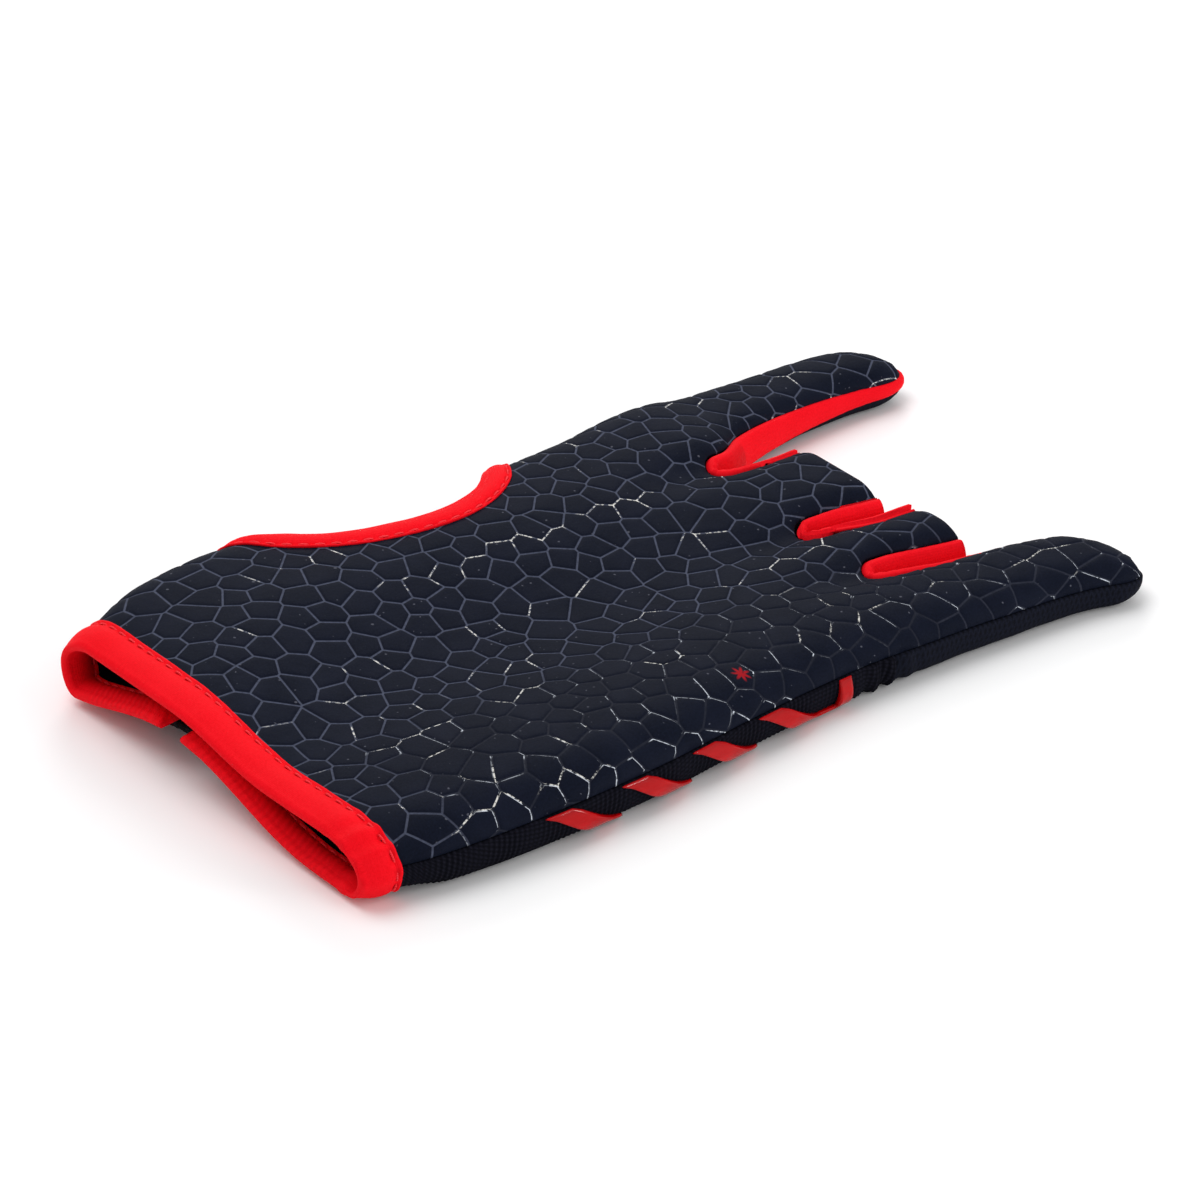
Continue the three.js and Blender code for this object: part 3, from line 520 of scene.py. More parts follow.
def new_object(name, points, faces, materials, values=(), material_of=None):
    mesh = bpy.data.meshes.new(name)
    places = (np.asarray(points) - ORIGIN) * MM
    mesh.from_pydata(places.tolist(), [], [list(map(int, f)) for f in faces])
    for key, array in dict(values).items():
        array = np.asarray(array, np.float32)
        kind, field = ("FLOAT_VECTOR", "vector") if array.ndim == 2 else ("FLOAT", "value")
        mesh.attributes.new(key, kind, "POINT").data.foreach_set(field, array.ravel())
    for material in materials:
        mesh.materials.append(material)
    if material_of is not None:
        mesh.polygons.foreach_set("material_index", np.asarray(material_of, np.int32))
    mesh.polygons.foreach_set("use_smooth", np.ones(len(mesh.polygons), bool))
    mesh.update()
    made = linked(name, mesh)
    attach(made, "root")
    return made


def weld(points, faces):
    """Joins points that lie together, and drops faces that closed up."""
    key = np.round(points / WELD_REACH).astype(np.int64)
    _, first, same = np.unique(key, axis=0, return_index=True, return_inverse=True)
    same = same.ravel()
    faces = [tuple(dict.fromkeys(same[list(f)])) for f in faces]
    return first, [f for f in faces if len(f) > 2]


def closed_sheet(name, points, normals, faces, up, down, materials, values=(), rim=0.25):
    """A sheet of cloth with its outer side, its lining and a rounded rim, one closed mesh."""
    count = len(points)
    directed = {(f[k], f[(k + 1) % len(f)]): True for f in faces for k in range(len(f))}
    border = [(a, b) for a, b in directed if (b, a) not in directed]
    outer = points + normals * np.asarray(up)[:, None]
    inner = points - normals * down
    ends = sorted({v for e in border for v in e})
    place_of = {v: k for k, v in enumerate(ends)}
    away = np.zeros((len(ends), 3))
    for a, b in border:
        side = np.cross(points[b] - points[a], normals[a])
        away[place_of[a]] += side
        away[place_of[b]] += side
    middle = (outer[ends] + inner[ends]) / 2 + unit(away) * rim
    all_points = above_floor(np.concatenate([outer, inner, middle]))
    all_faces = list(faces) + [tuple(v + count for v in f[::-1]) for f in faces]
    for a, b in border:
        ma, mb = 2 * count + place_of[a], 2 * count + place_of[b]
        all_faces += [(b, a, ma, mb), (mb, ma, a + count, b + count)]
    material_of = [0] * len(faces) + [len(materials) - 1] * len(faces) + [0] * (2 * len(border))
    grown = {k: np.concatenate([v, v, np.asarray(v)[ends]]) for k, v in dict(values).items()}
    return new_object(name, all_points, all_faces, materials, grown, material_of)


def grid_faces(rows, columns, turned=False, closed=False, first=0):
    """Quads of a grid of points that lie row by row."""
    i, j = np.meshgrid(np.arange(rows - 1), np.arange(columns if closed else columns - 1), indexing="ij")
    k = (j + 1) % columns
    quads = np.stack([i * columns + j, (i + 1) * columns + j, (i + 1) * columns + k, i * columns + k], -1)
    quads = quads.reshape(-1, 4) + first
    return quads[:, ::-1] if turned else quads


def grid_of(rows, columns):
    """The rows' and the columns' values at each point of a grid, row by row."""
    return [k.ravel() for k in np.meshgrid(rows, columns, indexing="ij")]


def laid_flat(x, y):
    """Places on the flat cloth, as the materials read them."""
    return np.column_stack([x, np.broadcast_to(y, np.shape(x)), np.zeros(len(x))])


class Patches:
    """Grids of places that share their edges."""

    def __init__(self):
        self.points, self.normals, self.faces, self.flat, self.count = [], [], [], [], 0

    def add(self, surface, rows, columns, outward, turned, wide):
        """wide is how many millimetres of cloth one step of the columns' values is."""
        u, v = grid_of(rows, columns)
        self.put(*placed(surface, u, v, outward), laid_flat(u, v * wide), len(rows), len(columns), turned)

    def put(self, points, normals, flat, rows, columns, turned):
        self.points.append(points)
        self.normals.append(normals)
        self.flat.append(flat)
        self.faces += [tuple(f) for f in grid_faces(rows, columns, turned, first=self.count)]
        self.count += rows * columns

    def joined(self):
        points, normals = np.concatenate(self.points), np.concatenate(self.normals)
        flat = np.concatenate(self.flat)
        first, faces = weld(points, self.faces)
        return points[first], normals[first], flat[first], faces


# Materials
def srgb(*channels):
    """A linear colour from a screen's numbers, 0 to 255."""
    linear = [c / 255 / 12.92 if c <= 10 else ((c / 255 + 0.055) / 1.055) ** 2.4 for c in channels]
    return (*linear, 1.0)


class Look:
    """A node material with short ways to add its nodes."""

    def __init__(self, name, rough, **inputs):
        self.material = bpy.data.materials.new(name)
        self.material.use_nodes = True
        self.tree = self.material.node_tree
        self.shader = next(n for n in self.tree.nodes if n.type == "BSDF_PRINCIPLED")
        self.shader.inputs["Roughness"].default_value = rough
        for key, value in inputs.items():
            self.shader.inputs[key.replace("_", " ")].default_value = value

    def put(self, socket, value):
        if isinstance(value, bpy.types.NodeSocket):
            self.tree.links.new(value, socket)
        elif value is not None:
            socket.default_value = value

    def set(self, name, value):
        self.put(self.shader.inputs[name], value)

    def node(self, kind, inputs, output=0, **settings):
        made = self.tree.nodes.new("ShaderNode" + kind)
        for key, value in settings.items():
            setattr(made, key, value)
        for key, value in inputs.items():
            self.put(made.inputs[key], value)
        return made.outputs[output]

    def fact(self, name, output="Fac"):
        return self.node("Attribute", {}, output, attribute_name=name)

    def place(self):
        return self.node("TexCoord", {}, "Object")

    def scaled(self, vector, by):
        return self.node("VectorMath", {0: vector, 1: by}, operation="MULTIPLY")

    def noise(self, vector, scale, detail=2.0, rough=0.5):
        inputs = {"Vector": vector, "Scale": scale, "Detail": detail, "Roughness": rough}
        return self.node("TexNoise", inputs, "Fac")

    def wave(self, vector, scale, axis="X", warp=0.0):
        inputs = {"Vector": vector, "Scale": scale, "Distortion": warp}
        return self.node("TexWave", inputs, "Fac", bands_direction=axis)

    def range(self, value, low, high, to_low=0.0, to_high=1.0):
        ends = zip(("From Min", "From Max", "To Min", "To Max"), (low, high, to_low, to_high))
        return self.node("MapRange", {"Value": value, **dict(ends)})

    def math(self, kind, a, b=None):
        return self.node("Math", {0: a, 1: b}, operation=kind)

    def times(self, first, *others):
        for other in others:
            first = self.math("MULTIPLY", first, other)
        return first

    def mix(self, by, a, b):
        return self.node("Mix", {"Factor": by, 6: a, 7: b}, 2, data_type="RGBA")

    def bump(self, height, depth, strength=1.0, under=None):
        inputs = {"Strength": strength, "Distance": depth * MM, "Height": height, "Normal": under}
        return self.node("Bump", inputs)

    def crossed(self, vector, x, y, bands):
        """Two sets of slanted bands, one each way."""
        return [self.wave(self.scaled(vector, (x, side * y, 0)), ONE_A_MM * bands, "DIAGONAL")
                for side in (1, -1)]

    def cloth(self, tone, dark, pale, coarse, fine):
        """Colours from dark to pale by tone, and two heights with their depth and strength."""
        self.set("Base Color", self.mix(tone, srgb(*dark), srgb(*pale)))
        self.set("Normal", self.bump(*coarse, self.bump(*fine)))
        return self.material

    def star(self, vector, middle, radius, ray, points):
        """1 on the rim of a star, less inside it."""
        parts = self.tree.nodes.new("ShaderNodeSeparateXYZ")
        from_middle = self.node("VectorMath", {0: vector, 1: (*middle, 0)}, operation="SUBTRACT")
        self.put(parts.inputs[0], from_middle)
        x, y = parts.outputs[0], parts.outputs[1]
        away = self.math("SQRT", self.math("ADD", self.times(x, x), self.times(y, y)))
        turn = self.math("COSINE", self.times(self.math("ARCTAN2", y, x), float(points)))
        return self.math("DIVIDE", away, self.math("ADD", self.times(turn, ray), radius))


# The wave texture's scale for one band in each millimetre
ONE_A_MM = 0.31416


def palm_look():
    look = Look("palm_print", 0.7, Specular_IOR_Level=0.05)
    flat = look.fact("flat", "Vector")
    depth, number, light_facing = look.fact("depth"), look.fact("number"), look.fact("light_facing")
    # How grey the lines show: partly their metallic print, partly painted reflection; where low, the dark
    # lines are painted shade in the grooves
    silver_and_sheen = look.fact("silver_and_sheen")
    line = look.range(depth, 0.24, 0.13)
    broken = look.noise(flat, 1.3, 3.0, 0.7)
    patchy = look.noise(flat, 0.05, 1.0)
    lively = look.math("ADD", number, look.range(patchy, 0.35, 0.65, -0.3, 0.2))
    # Painted highlight: white dashes on some of the lines, where the glossy print would catch the light
    glint = look.times(look.range(lively, 0.89, 0.95), look.range(broken, 0.46, 0.54),
                       look.range(depth, 0.17, 0.12))
    # Uneven wear of the lines' grey, times their painted reflection and shade
    wear_and_sheen = look.times(look.range(broken, 0.3, 0.6, 0.6, 1.0), silver_and_sheen)
    grain = look.noise(flat, 2.2, 4.0, 0.7)
    cloudy = look.noise(flat, 0.12, 2.0)
    skin = look.mix(look.range(grain, 0.35, 0.7), srgb(9, 13, 25), srgb(15, 20, 35))
    skin = look.mix(look.range(cloudy, 0.4, 0.75, 0, 0.3), skin, srgb(26, 30, 46))
    dust = look.range(look.noise(flat, 1.1, 0.0), 0.81, 0.85)
    skin = look.mix(look.times(dust, 0.4), skin, srgb(110, 112, 124))
    grey = look.mix(wear_and_sheen, srgb(9, 10, 18), srgb(73, 78, 96))
    bright = look.mix(glint, grey, srgb(214, 212, 206))
    # Painted highlight: a pale rim on the side of each line's groove that faces the light
    lit_side = look.times(look.range(light_facing, 0.35, 0.75), look.range(depth, 0.05, 0.1),
                          look.range(depth, 0.34, 0.27), look.range(silver_and_sheen, 0.75, 0.35),
                          look.range(number, 0.35, 0.5), look.range(broken, 0.38, 0.5))
    colour = look.mix(line, skin, bright)
    colour = look.mix(lit_side, colour, srgb(196, 202, 212))
    fleck = look.range(look.star(flat, FLECK, 1.2, 0.45, 7), 1.15, 0.7)
    colour = look.mix(look.times(fleck, look.range(broken, 0.3, 0.42)), colour, srgb(150, 18, 28))
    look.set("Base Color", colour)
    fine = look.bump(grain, 0.05, 0.55)
    look.set("Normal", look.bump(look.noise(flat, 0.8, 2.0), 0.18, 0.4, fine))
    return look.material


def lining_look():
    look = Look("lining", 0.95, Specular_IOR_Level=0.03)
    place = look.scaled(look.place(), (1000, 1000, 1000))
    loops = look.times(look.wave(place, 0.75, "X"), look.wave(place, 0.75, "Y"))
    fuzz = look.noise(place, 1.6, 4.0, 0.8)
    return look.cloth(look.range(fuzz, 0.4, 0.75), (6, 6, 9), (22, 22, 28),
                      (loops, 0.15, 0.6), (fuzz, 0.12, 0.8))


def knit_look():
    """A knit with ribs across the hand and rows of stitches along it."""
    look = Look("ribbed_knit", 0.85, Specular_IOR_Level=0.03)
    flat = look.fact("flat", "Vector")
    ribs = look.wave(look.scaled(flat, (1, 0, 0)), ONE_A_MM, "X")
    rows = look.wave(look.scaled(flat, (0, 1.25, 0)), ONE_A_MM, "Y", 1.5)
    fuzz = look.noise(flat, 3.0, 4.0, 0.75)
    both = look.times(look.range(ribs, 0, 1, 0.35, 1), look.range(rows, 0, 1, 0.4, 1))
    tone = look.times(both, look.range(fuzz, 0.3, 0.7, 0.6, 1.1))
    return look.cloth(tone, (4, 4, 8), (26, 26, 36), (both, 0.22, 0.8), (fuzz, 0.06, 0.6))


def smooth_knit_look():
    look = Look("smooth_knit", 0.75, Specular_IOR_Level=0.04)
    flat = look.fact("flat", "Vector")
    weave = look.math("MAXIMUM", *look.crossed(flat, 1.6, 0.8, 1.1))
    fuzz = look.noise(flat, 2.6, 4.0, 0.75)
    return look.cloth(look.times(weave, look.range(fuzz, 0.3, 0.7)), (9, 10, 17), (25, 28, 42),
                      (weave, 0.08, 0.5), (fuzz, 0.06, 0.6))


def red_cloth_look(name, deep, bright, weave_scale):
    look = Look(name, 0.7, Specular_IOR_Level=0.05)
    flat = look.fact("flat", "Vector")
    warp = look.wave(flat, ONE_A_MM * weave_scale, "X", 0.4)
    weft = look.wave(flat, ONE_A_MM * weave_scale, "Y", 0.4)
    weave = look.times(warp, weft)
    ribs = look.times(look.wave(look.scaled(flat, (1.25, 0.5, 0)), ONE_A_MM, "DIAGONAL", 0.3),
                     look.fact("ribbed"))
    fuzz = look.noise(flat, 1.8, 4.0, 0.75)
    cloudy = look.noise(flat, 0.16, 2.0)
    hollow = look.fact("hollow")
    tone = look.mix(look.range(fuzz, 0.3, 0.75), deep, bright)
    tone = look.mix(look.range(cloudy, 0.35, 0.7, 0, 0.35), tone, bright)
    tone = look.mix(look.times(ribs, 0.25), tone, srgb(176, 4, 15))
    # Painted shade: darker red where the hollow value is high, in the strips' dimple and fold valleys and
    # in the tape's puckers along the stitches
    tone = look.mix(look.range(hollow, 0.2, 1.0, 0, 0.8), tone, srgb(140, 3, 12))
    look.set("Base Color", tone)
    fine = look.bump(weave, 0.07, 0.5, look.bump(fuzz, 0.07, 0.6))
    look.set("Normal", look.bump(ribs, 0.08, 0.8, fine))
    return look.material


def thread_look():
    look = Look("red_thread", 0.6, Specular_IOR_Level=0.1)
    place = look.scaled(look.place(), (1000, 1000, 1000))
    twist = look.wave(place, 1.4, "DIAGONAL")
    look.set("Base Color", look.mix(twist, srgb(222, 20, 34), srgb(250, 66, 74)))
    look.set("Normal", look.bump(twist, 0.05, 0.7))
    return look.material


def film_look():
    look = Look("gloss_film", 0.1, Specular_IOR_Level=0.16)
    flat = look.fact("flat", "Vector")
    look.set("Base Color", look.mix(look.range(look.noise(flat, 0.5, 2.0), 0.3, 0.7),
                                    srgb(146, 0, 3), srgb(186, 1, 7)))
    look.set("Normal", look.bump(look.noise(flat, 0.22, 1.0), 0.5, 0.5))
    return look.material


def strap_look():
    look = Look("strap_webbing", 0.85, Specular_IOR_Level=0.05)
    flat = look.fact("flat", "Vector")
    weave = look.times(*look.crossed(flat, 1, 0.5, 0.9))
    fuzz = look.noise(flat, 2.4, 4.0, 0.8)
    return look.cloth(look.times(weave, fuzz), (8, 8, 10), (44, 44, 50),
                      (weave, 0.2, 0.8), (fuzz, 0.1, 0.6))


PRINT, LINING, KNIT, SMOOTH = palm_look(), lining_look(), knit_look(), smooth_knit_look()
TAPE = red_cloth_look("edge_tape", srgb(222, 4, 17), srgb(242, 16, 32), 2.4)
GUSSET = red_cloth_look("gusset_cloth", srgb(218, 4, 18), srgb(240, 18, 34), 2.0)
THREAD, FILM, STRAP = thread_look(), film_look(), strap_look()


# The palm, printed with raised cells
def ripples(points, size, seed):
    """Soft unevenness from a few sine waves."""
    rng = np.random.default_rng(seed)
    out = np.zeros(len(points))
    for _ in range(7):
        way = unit(rng.normal(size=points.shape[1]))
        out += np.sin(points @ way * 2 * math.pi / (size * rng.uniform(0.7, 1.6)) + rng.uniform(0, 6.3))
    return out / 7


# How high the print stands at each of the groove's depths and in the middle of a cell
RELIEF_AT, RELIEF = (*GROOVE, 2.6), (-0.16, -0.13, -0.01, 0.06, 0.1, 0.13)
PRESSED, PRESS_FADE, EDGE_LOW, EDGE_FADE = -0.05, 1.6, -0.35, 1.3

# How grey the lines are, partly their metallic print and partly painted reflection: least by the little
# finger's side, where the dark lines are painted shade in the grooves, more from there on, and at the wrist
SILVER_SHEEN_LEAST, SILVER_SHEEN_FROM, SILVER_SHEEN_FADE = 0.2, -34, 16
WRIST_SILVER_SHEEN, WRIST_SILVER_SHEEN_TO, LITTLE_SILVER_SHEEN = 0.9, 12, 0.3


def build_palm():
    outline = palm_outline()
    flat, tris, (depth, number, light_facing) = cell_mesh(outline)
    points, normals = placed(palm_spot, flat[:, 0], flat[:, 1], 1.0, 0.02, 0.03)
    tall = np.interp(depth, RELIEF_AT, RELIEF)
    pressed = np.maximum(1 - smooth((flat[:, 0] - WRIST_TAPE * TAPE_SEEN) / PRESS_FADE),
                         1 - smooth((palm_hole_away(flat) - THUMB_TAPE * TAPE_SEEN) / PRESS_FADE))
    relief = lerp(tall + 0.05 * ripples(flat, 6, 3), PRESSED, pressed)
    relief = lerp(EDGE_LOW, relief, smooth(edge_distance(flat, outline) / EDGE_FADE))
    # Painted light on the lines: grey as painted reflection, dark by the little finger's side as painted
    # shade in the grooves
    silver_and_sheen = SILVER_SHEEN_LEAST + (1 - SILVER_SHEEN_LEAST) * smooth((flat[:, 1] - SILVER_SHEEN_FROM) / SILVER_SHEEN_FADE)
    silver_and_sheen = np.maximum(silver_and_sheen, WRIST_SILVER_SHEEN * (1 - smooth((flat[:, 0] - WRIST_SILVER_SHEEN_TO) / SILVER_SHEEN_FADE)))
    silver_and_sheen = np.where((flat[:, 0] > PALM_LENGTH) & (flat[:, 1] < CROTCHES[0]), LITTLE_SILVER_SHEEN, silver_and_sheen)
    values = dict(depth=depth, number=number, light_facing=light_facing, silver_and_sheen=silver_and_sheen, flat=laid_flat(*flat.T))
    made = closed_sheet("palm_cloth", points, normals, [tuple(t) for t in tris], HALF + relief,
                        HALF, [PRINT, LINING], values)
    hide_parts("palm_panel")


def palm_hole_away(flat):
    """How far a place of the pattern is from the thumb hole's edge."""
    rows = HOLE_MIDDLE - HOLE_LENGTH / 2 * np.cos(np.linspace(0, math.pi, 60))
    middle, length = hand_flat(rows)
    edge = middle + (side_loop(rows, True) - hole_depth(rows, True)) * length
    hole = np.column_stack([rows, edge])
    return np.sqrt(((flat[:, None] - hole[None]) ** 2).sum(2)).min(1)


build_palm()


# The back of the hand, knitted in ribs, and the backs of the fingers
RIB, RIB_HEIGHT = 1.1, 0.09
HALF_BACK_WIDE, STUB_WIDE, FINGER_WIDE = 50, 18, 19
GATHERS_AT = np.array([114.0, -51.0, 5.0])
RING_STOP = loop_at(PALM_LENGTH, CROTCHES[0], False)
MIDDLE_STOP = loop_at(PALM_LENGTH, CROTCHES[1], False)
INDEX_STOP = loop_at(PALM_LENGTH, CROTCHES[2], False)
SLIT_STOP = 0.02
SIDE_SHARES = np.array([0, 0.03, 0.06, 0.1, 0.14, 0.18, 0.23, 0.3, 0.45, 0.6, 0.75, 0.88, 1])
STUB_SHARES = np.linspace(0, 1, 9)


def back_stops():
    little = lerp(-1, RING_STOP, SIDE_SHARES)
    index = lerp(INDEX_STOP, 1, 1 - SIDE_SHARES[::-1])
    ring = lerp(RING_STOP, MIDDLE_STOP, STUB_SHARES)
    middle = lerp(MIDDLE_STOP, INDEX_STOP, STUB_SHARES)
    return np.unique(np.round(np.concatenate([little, ring, middle, index]), 9))


def slit_loop(row):
    return lerp(SLIT_ACROSS, SLIT_STOP, smooth((row - SLIT_LENGTH) / SLIT_FADE))


def slit_open(row):
    radius = SLIT_WIDTH / 2
    into = np.clip((row - SLIT_LENGTH + radius) / radius, 0, 1)
    return radius * np.sqrt(1 - into * into) * per_mm(row, False)


def back_loop(row, stop, side):
    middle, opened = slit_loop(row), slit_open(row)
    if side < 0:
        moved = lerp(-1, middle - opened, (stop + 1) / (SLIT_STOP + 1))
    else:
        moved = lerp(middle + opened, 1, (stop - SLIT_STOP) / (1 - SLIT_STOP))
    edge = side_loop(row, False)
    high = edge - hole_depth(row, False)
    loop = np.where(moved < RING_STOP, lerp(-edge, RING_STOP, (moved + 1) / (RING_STOP + 1)), moved)
    past_index = (moved - INDEX_STOP) / (1 - INDEX_STOP)
    loop = np.where(moved > INDEX_STOP, lerp(INDEX_STOP, high, past_index), loop)
    return 2 - loop


def gathers(points):
    """Folds that run out from the end of the knit band on the little finger's side."""
    near = points - GATHERS_AT
    reach = np.exp(-(near[:, 0] / 7) ** 2 - (near[:, 1] / 6) ** 2)
    return reach * (0.5 * np.sin(near[:, 0] * 1.5 + near[:, 2] * 0.5) + 0.25)


def build_back():
    patches = Patches()
    rows = np.arange(0, BACK_START - SEAM_GAP / 2, RIB / 5)
    rows = np.unique(np.concatenate([rows, SLIT_LENGTH - SLIT_WIDTH / 2 * (1 - np.array([0.9, 0.97, 1.0])),
                                     [BACK_START - SEAM_GAP / 2]]))
    stops = back_stops()
    for side in (-1, 1):
        mine = stops[stops < SLIT_STOP] if side < 0 else stops[stops > SLIT_STOP]
        mine = np.append(mine, SLIT_STOP) if side < 0 else np.insert(mine, 0, SLIT_STOP)
        u, v = grid_of(rows, mine)
        loops = back_loop(u, v, side)
        length = split(hand_half(u)[1], BACK_ROUND)[3]
        patches.put(*placed(hand, u, loops), laid_flat(u, loops * length), len(rows), len(mine), True)
    short = stops[(stops > RING_STOP - 1e-6) & (stops < INDEX_STOP + 1e-6)]
    join = np.linspace(BACK_START - SEAM_GAP / 2, PALM_LENGTH, 40)
    patches.add(lambda u, v: hand(u, 2 - v), join, short, -1.0, True, HALF_BACK_WIDE)
    for index in (1, 2):
        rows = np.insert(finger_rows(FINGERS[index], 0.5), 0, PALM_LENGTH)
        patches.add(lambda u, v: finger(index, u, v, False), rows, STUB_SHARES, -1.0, True, STUB_WIDE)
    points, normals, flat, faces = patches.joined()
    ribs = RIB_HEIGHT * np.cos(flat[:, 0] * 2 * math.pi / RIB)
    pressed = 1 - smooth((flat[:, 0] - WRIST_TAPE) / PRESS_FADE)
    relief = np.where(pressed > 0.5, PRESSED, ribs) + gathers(points)
    made = closed_sheet("back_cloth", points, normals, faces, HALF + relief, HALF, [KNIT, LINING],
                        dict(flat=flat))
    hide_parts("back_panel")


def build_finger_back(index, name, node):
    patches = Patches()
    shares = SIDE_SHARES if index == 0 else 1 - SIDE_SHARES[::-1]
    shares = np.unique(np.concatenate([shares, (shares[1:] + shares[:-1]) / 2]))
    rows = np.concatenate([np.linspace(BACK_START + SEAM_GAP / 2, PALM_LENGTH, 16)[:-1],
                           [PALM_LENGTH], finger_rows(FINGERS[index], 0.8)])
    surface = lambda u, v: finger(index, u, v, False, SEAM_GAP)
    patches.add(surface, rows, shares, -1.0, True, FINGER_WIDE)
    points, normals, flat, faces = patches.joined()
    relief = 0.12 * ripples(points, 9, 5 + index)
    if index == 0:
        relief = relief + gathers(points)
    along = flat[:, 0] - BACK_START
    relief = lerp(-0.3, relief, smooth(along / 1.5))
    made = closed_sheet(name, points, normals, faces, HALF + relief, HALF, [SMOOTH, LINING],
                        dict(flat=flat))
    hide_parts(node)


build_back()
build_finger_back(0, "little_back_cloth", "little_finger_back")
build_finger_back(3, "index_back_cloth", "index_finger_back")


# The red strips between the fingers. Each has a dimple and folds at its crotch and puckers along its seams
DIMPLE_AT, DIMPLE_LONG, DIMPLE_WIDE, DIMPLE_DEEP = 0.24, 1.2, 0.16, 1.3
FOLD_STEP, FOLD_REACH, FOLD_HIGH = 3.1, 5.5, 0.2
PUCKER_STEP, PUCKER_WIDE, PUCKER_HIGH = 2.5, 0.14, 0.05
STRIP_WIDE = 9


def gusset_edges(index):
    """Points and normals of the two cloths' edges, from one fingertip round the crotch to the other."""
    low, high = FINGERS[index], FINGERS[index + 1]
    low_rows = finger_rows(low, 0.9)[::-1]
    high_rows = finger_rows(high, 0.9)
    rows = np.concatenate([low_rows, [PALM_LENGTH], high_rows])
    which = np.concatenate([np.full(len(low_rows) + 1, index), np.full(len(high_rows), index + 1)])
    across = np.where(which == index, 1.0, 0.0)
    edges = []
    for on_palm in (True, False):
        points, normals = np.empty((len(rows), 3)), np.empty((len(rows), 3))
        for one in (index, index + 1):
            here = which == one
            surface = lambda u, v, o=one, p=on_palm: finger(o, u, v, p)
            outward = 1.0 if on_palm else -1.0
            points[here], normals[here] = placed(surface, rows[here], across[here], outward)
        edges.append((points, normals))
    return rows, which, edges


def gusset_roll(index, rows, which, past, long_):
    """How far the strip swells up above the cloth's edge."""
    if index == 0:
        return np.where(which == 0, 1.9 * (1 - smooth(past / 0.6)), 0.7)
    if index == 1:
        return np.where(which == 1, 3.7, 2.4)
    return np.where(long_, 1.3 * np.exp(-((rows - PALM_LENGTH) / 12) ** 2), 2.6)


def build_gusset(index, node):
    rows, which, edges = gusset_edges(index)
    count = len(rows)
    before, after = np.maximum(np.arange(count) - 1, 0), np.minimum(np.arange(count) + 1, count - 1)
    length = np.array([FINGERS[w]["length"] for w in which])
    long_ = np.array([FINGERS[w]["tip"] > 0 for w in which])
    past = (rows - PALM_LENGTH) / length
    thick = lerp(GUSSET_THICK, GUSSET_TIP_THICK, np.where(long_, smooth(past), 0))
    ends = []
    for k, (points, normals) in enumerate(edges):
        along = unit(points[after] - points[before])
        away = unit(np.cross(along, normals))
        if k == 1:
            away = -away
        level = unit(away * [1, 1, 0])
        flat = (away[:, 0] ** 2 + away[:, 1] ** 2)[:, None]
        down = np.array([0, 0, -1.0 if k == 0 else 1.0])
        heading = unit(lerp(away, down, flat))
        bend = np.linalg.norm(np.cross(away, heading), axis=1)[:, None]
        start = points + away * (-0.15 + thick[:, None] / 2 * bend) + normals * (HALF * bend * 0.7)
        ends.append((start, heading, level))
    (top, top_way, top_level), (bottom, bottom_way, bottom_level) = ends
    drop = (top[:, 2] - bottom[:, 2])[:, None]
    swell = GUSSET_PUFF * np.minimum(1, drop / GUSSET_UP) * 1.25
    roll = gusset_roll(index, rows, which, past, long_)
    h1 = top + top_way * drop * 0.33 + top_level * swell + np.array([0, 0, 1]) * roll[:, None]
    h2 = bottom + bottom_way * drop * 0.33 + bottom_level * swell
    seam = edges[0][0]
    along = seam[after] - seam[before]
    run = run_along(seam)
    run -= run[np.argmin(rows)]
    outer, inner, painted_shades, flats = [], [], [], []
    for s in np.linspace(0, 1, 17):
        r = 1 - s
        point = top * r ** 3 + h1 * 3 * r * r * s + h2 * 3 * r * s * s + bottom * s ** 3
        slope = (h1 - top) * 3 * r * r + (h2 - h1) * 6 * r * s + (bottom - h2) * 3 * s * s
        normal = unit(np.cross(slope, along))
        normal = np.where((normal * top_level).sum(1)[:, None] < 0, -normal, normal)
        body = (1 - abs(2 * s - 1) ** 5) ** 0.5
        dimple = np.exp(-(run / DIMPLE_LONG) ** 2) * np.exp(-((s - DIMPLE_AT) / DIMPLE_WIDE) ** 2)
        folds = np.cos(run * 2 * math.pi / FOLD_STEP) * np.exp(-(run / FOLD_REACH) ** 2) * body
        seams = np.exp(-(s / PUCKER_WIDE) ** 2) + np.exp(-((1 - s) / PUCKER_WIDE) ** 2)
        pucker = np.sin(run * 2 * math.pi / PUCKER_STEP) * seams
        rise = thick / 2 * (0.25 + 0.85 * body)
        rise = rise - DIMPLE_DEEP * dimple + FOLD_HIGH * folds + PUCKER_HIGH * pucker
        rise = rise + 0.08 * ripples(point, 7, 40 + index)
        outer.append(point + normal * rise[:, None])
        inner.append(point - normal * (thick / 2 * 0.7)[:, None])
        # Painted shade: darker in the dimple and in the folds' valleys
        painted_shades.append(np.clip(dimple * 1.2 - folds * 0.25, 0, 1))
        flats.append(laid_flat(run, s * STRIP_WIDE))
    ring = np.stack(outer + inner[::-1], 1)
    size = ring.shape[1]
    faces = [tuple(f) for f in grid_faces(count, size, closed=True)]
    faces += [tuple(range(size)), tuple(range((count - 1) * size, count * size))[::-1]]
    points = above_floor(ring.reshape(-1, 3))
    hollow = np.stack(painted_shades + painted_shades[::-1], 1).ravel()
    flat = np.stack(flats + flats[::-1], 1).reshape(-1, 3)
    made = new_object(node + "_cloth", points, faces, [GUSSET], dict(hollow=hollow, flat=flat))
    facing_out(made)
    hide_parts(node)


def run_along(points):
    """How far each point is along the line through them all."""
    return np.concatenate([[0], np.cumsum(np.linalg.norm(np.diff(points, axis=0), axis=1))])


def facing_out(made):
    bm = bmesh.new()
    bm.from_mesh(made.data)
    bmesh.ops.recalc_face_normals(bm, faces=bm.faces)
    bm.to_mesh(made.data)
    bm.free()


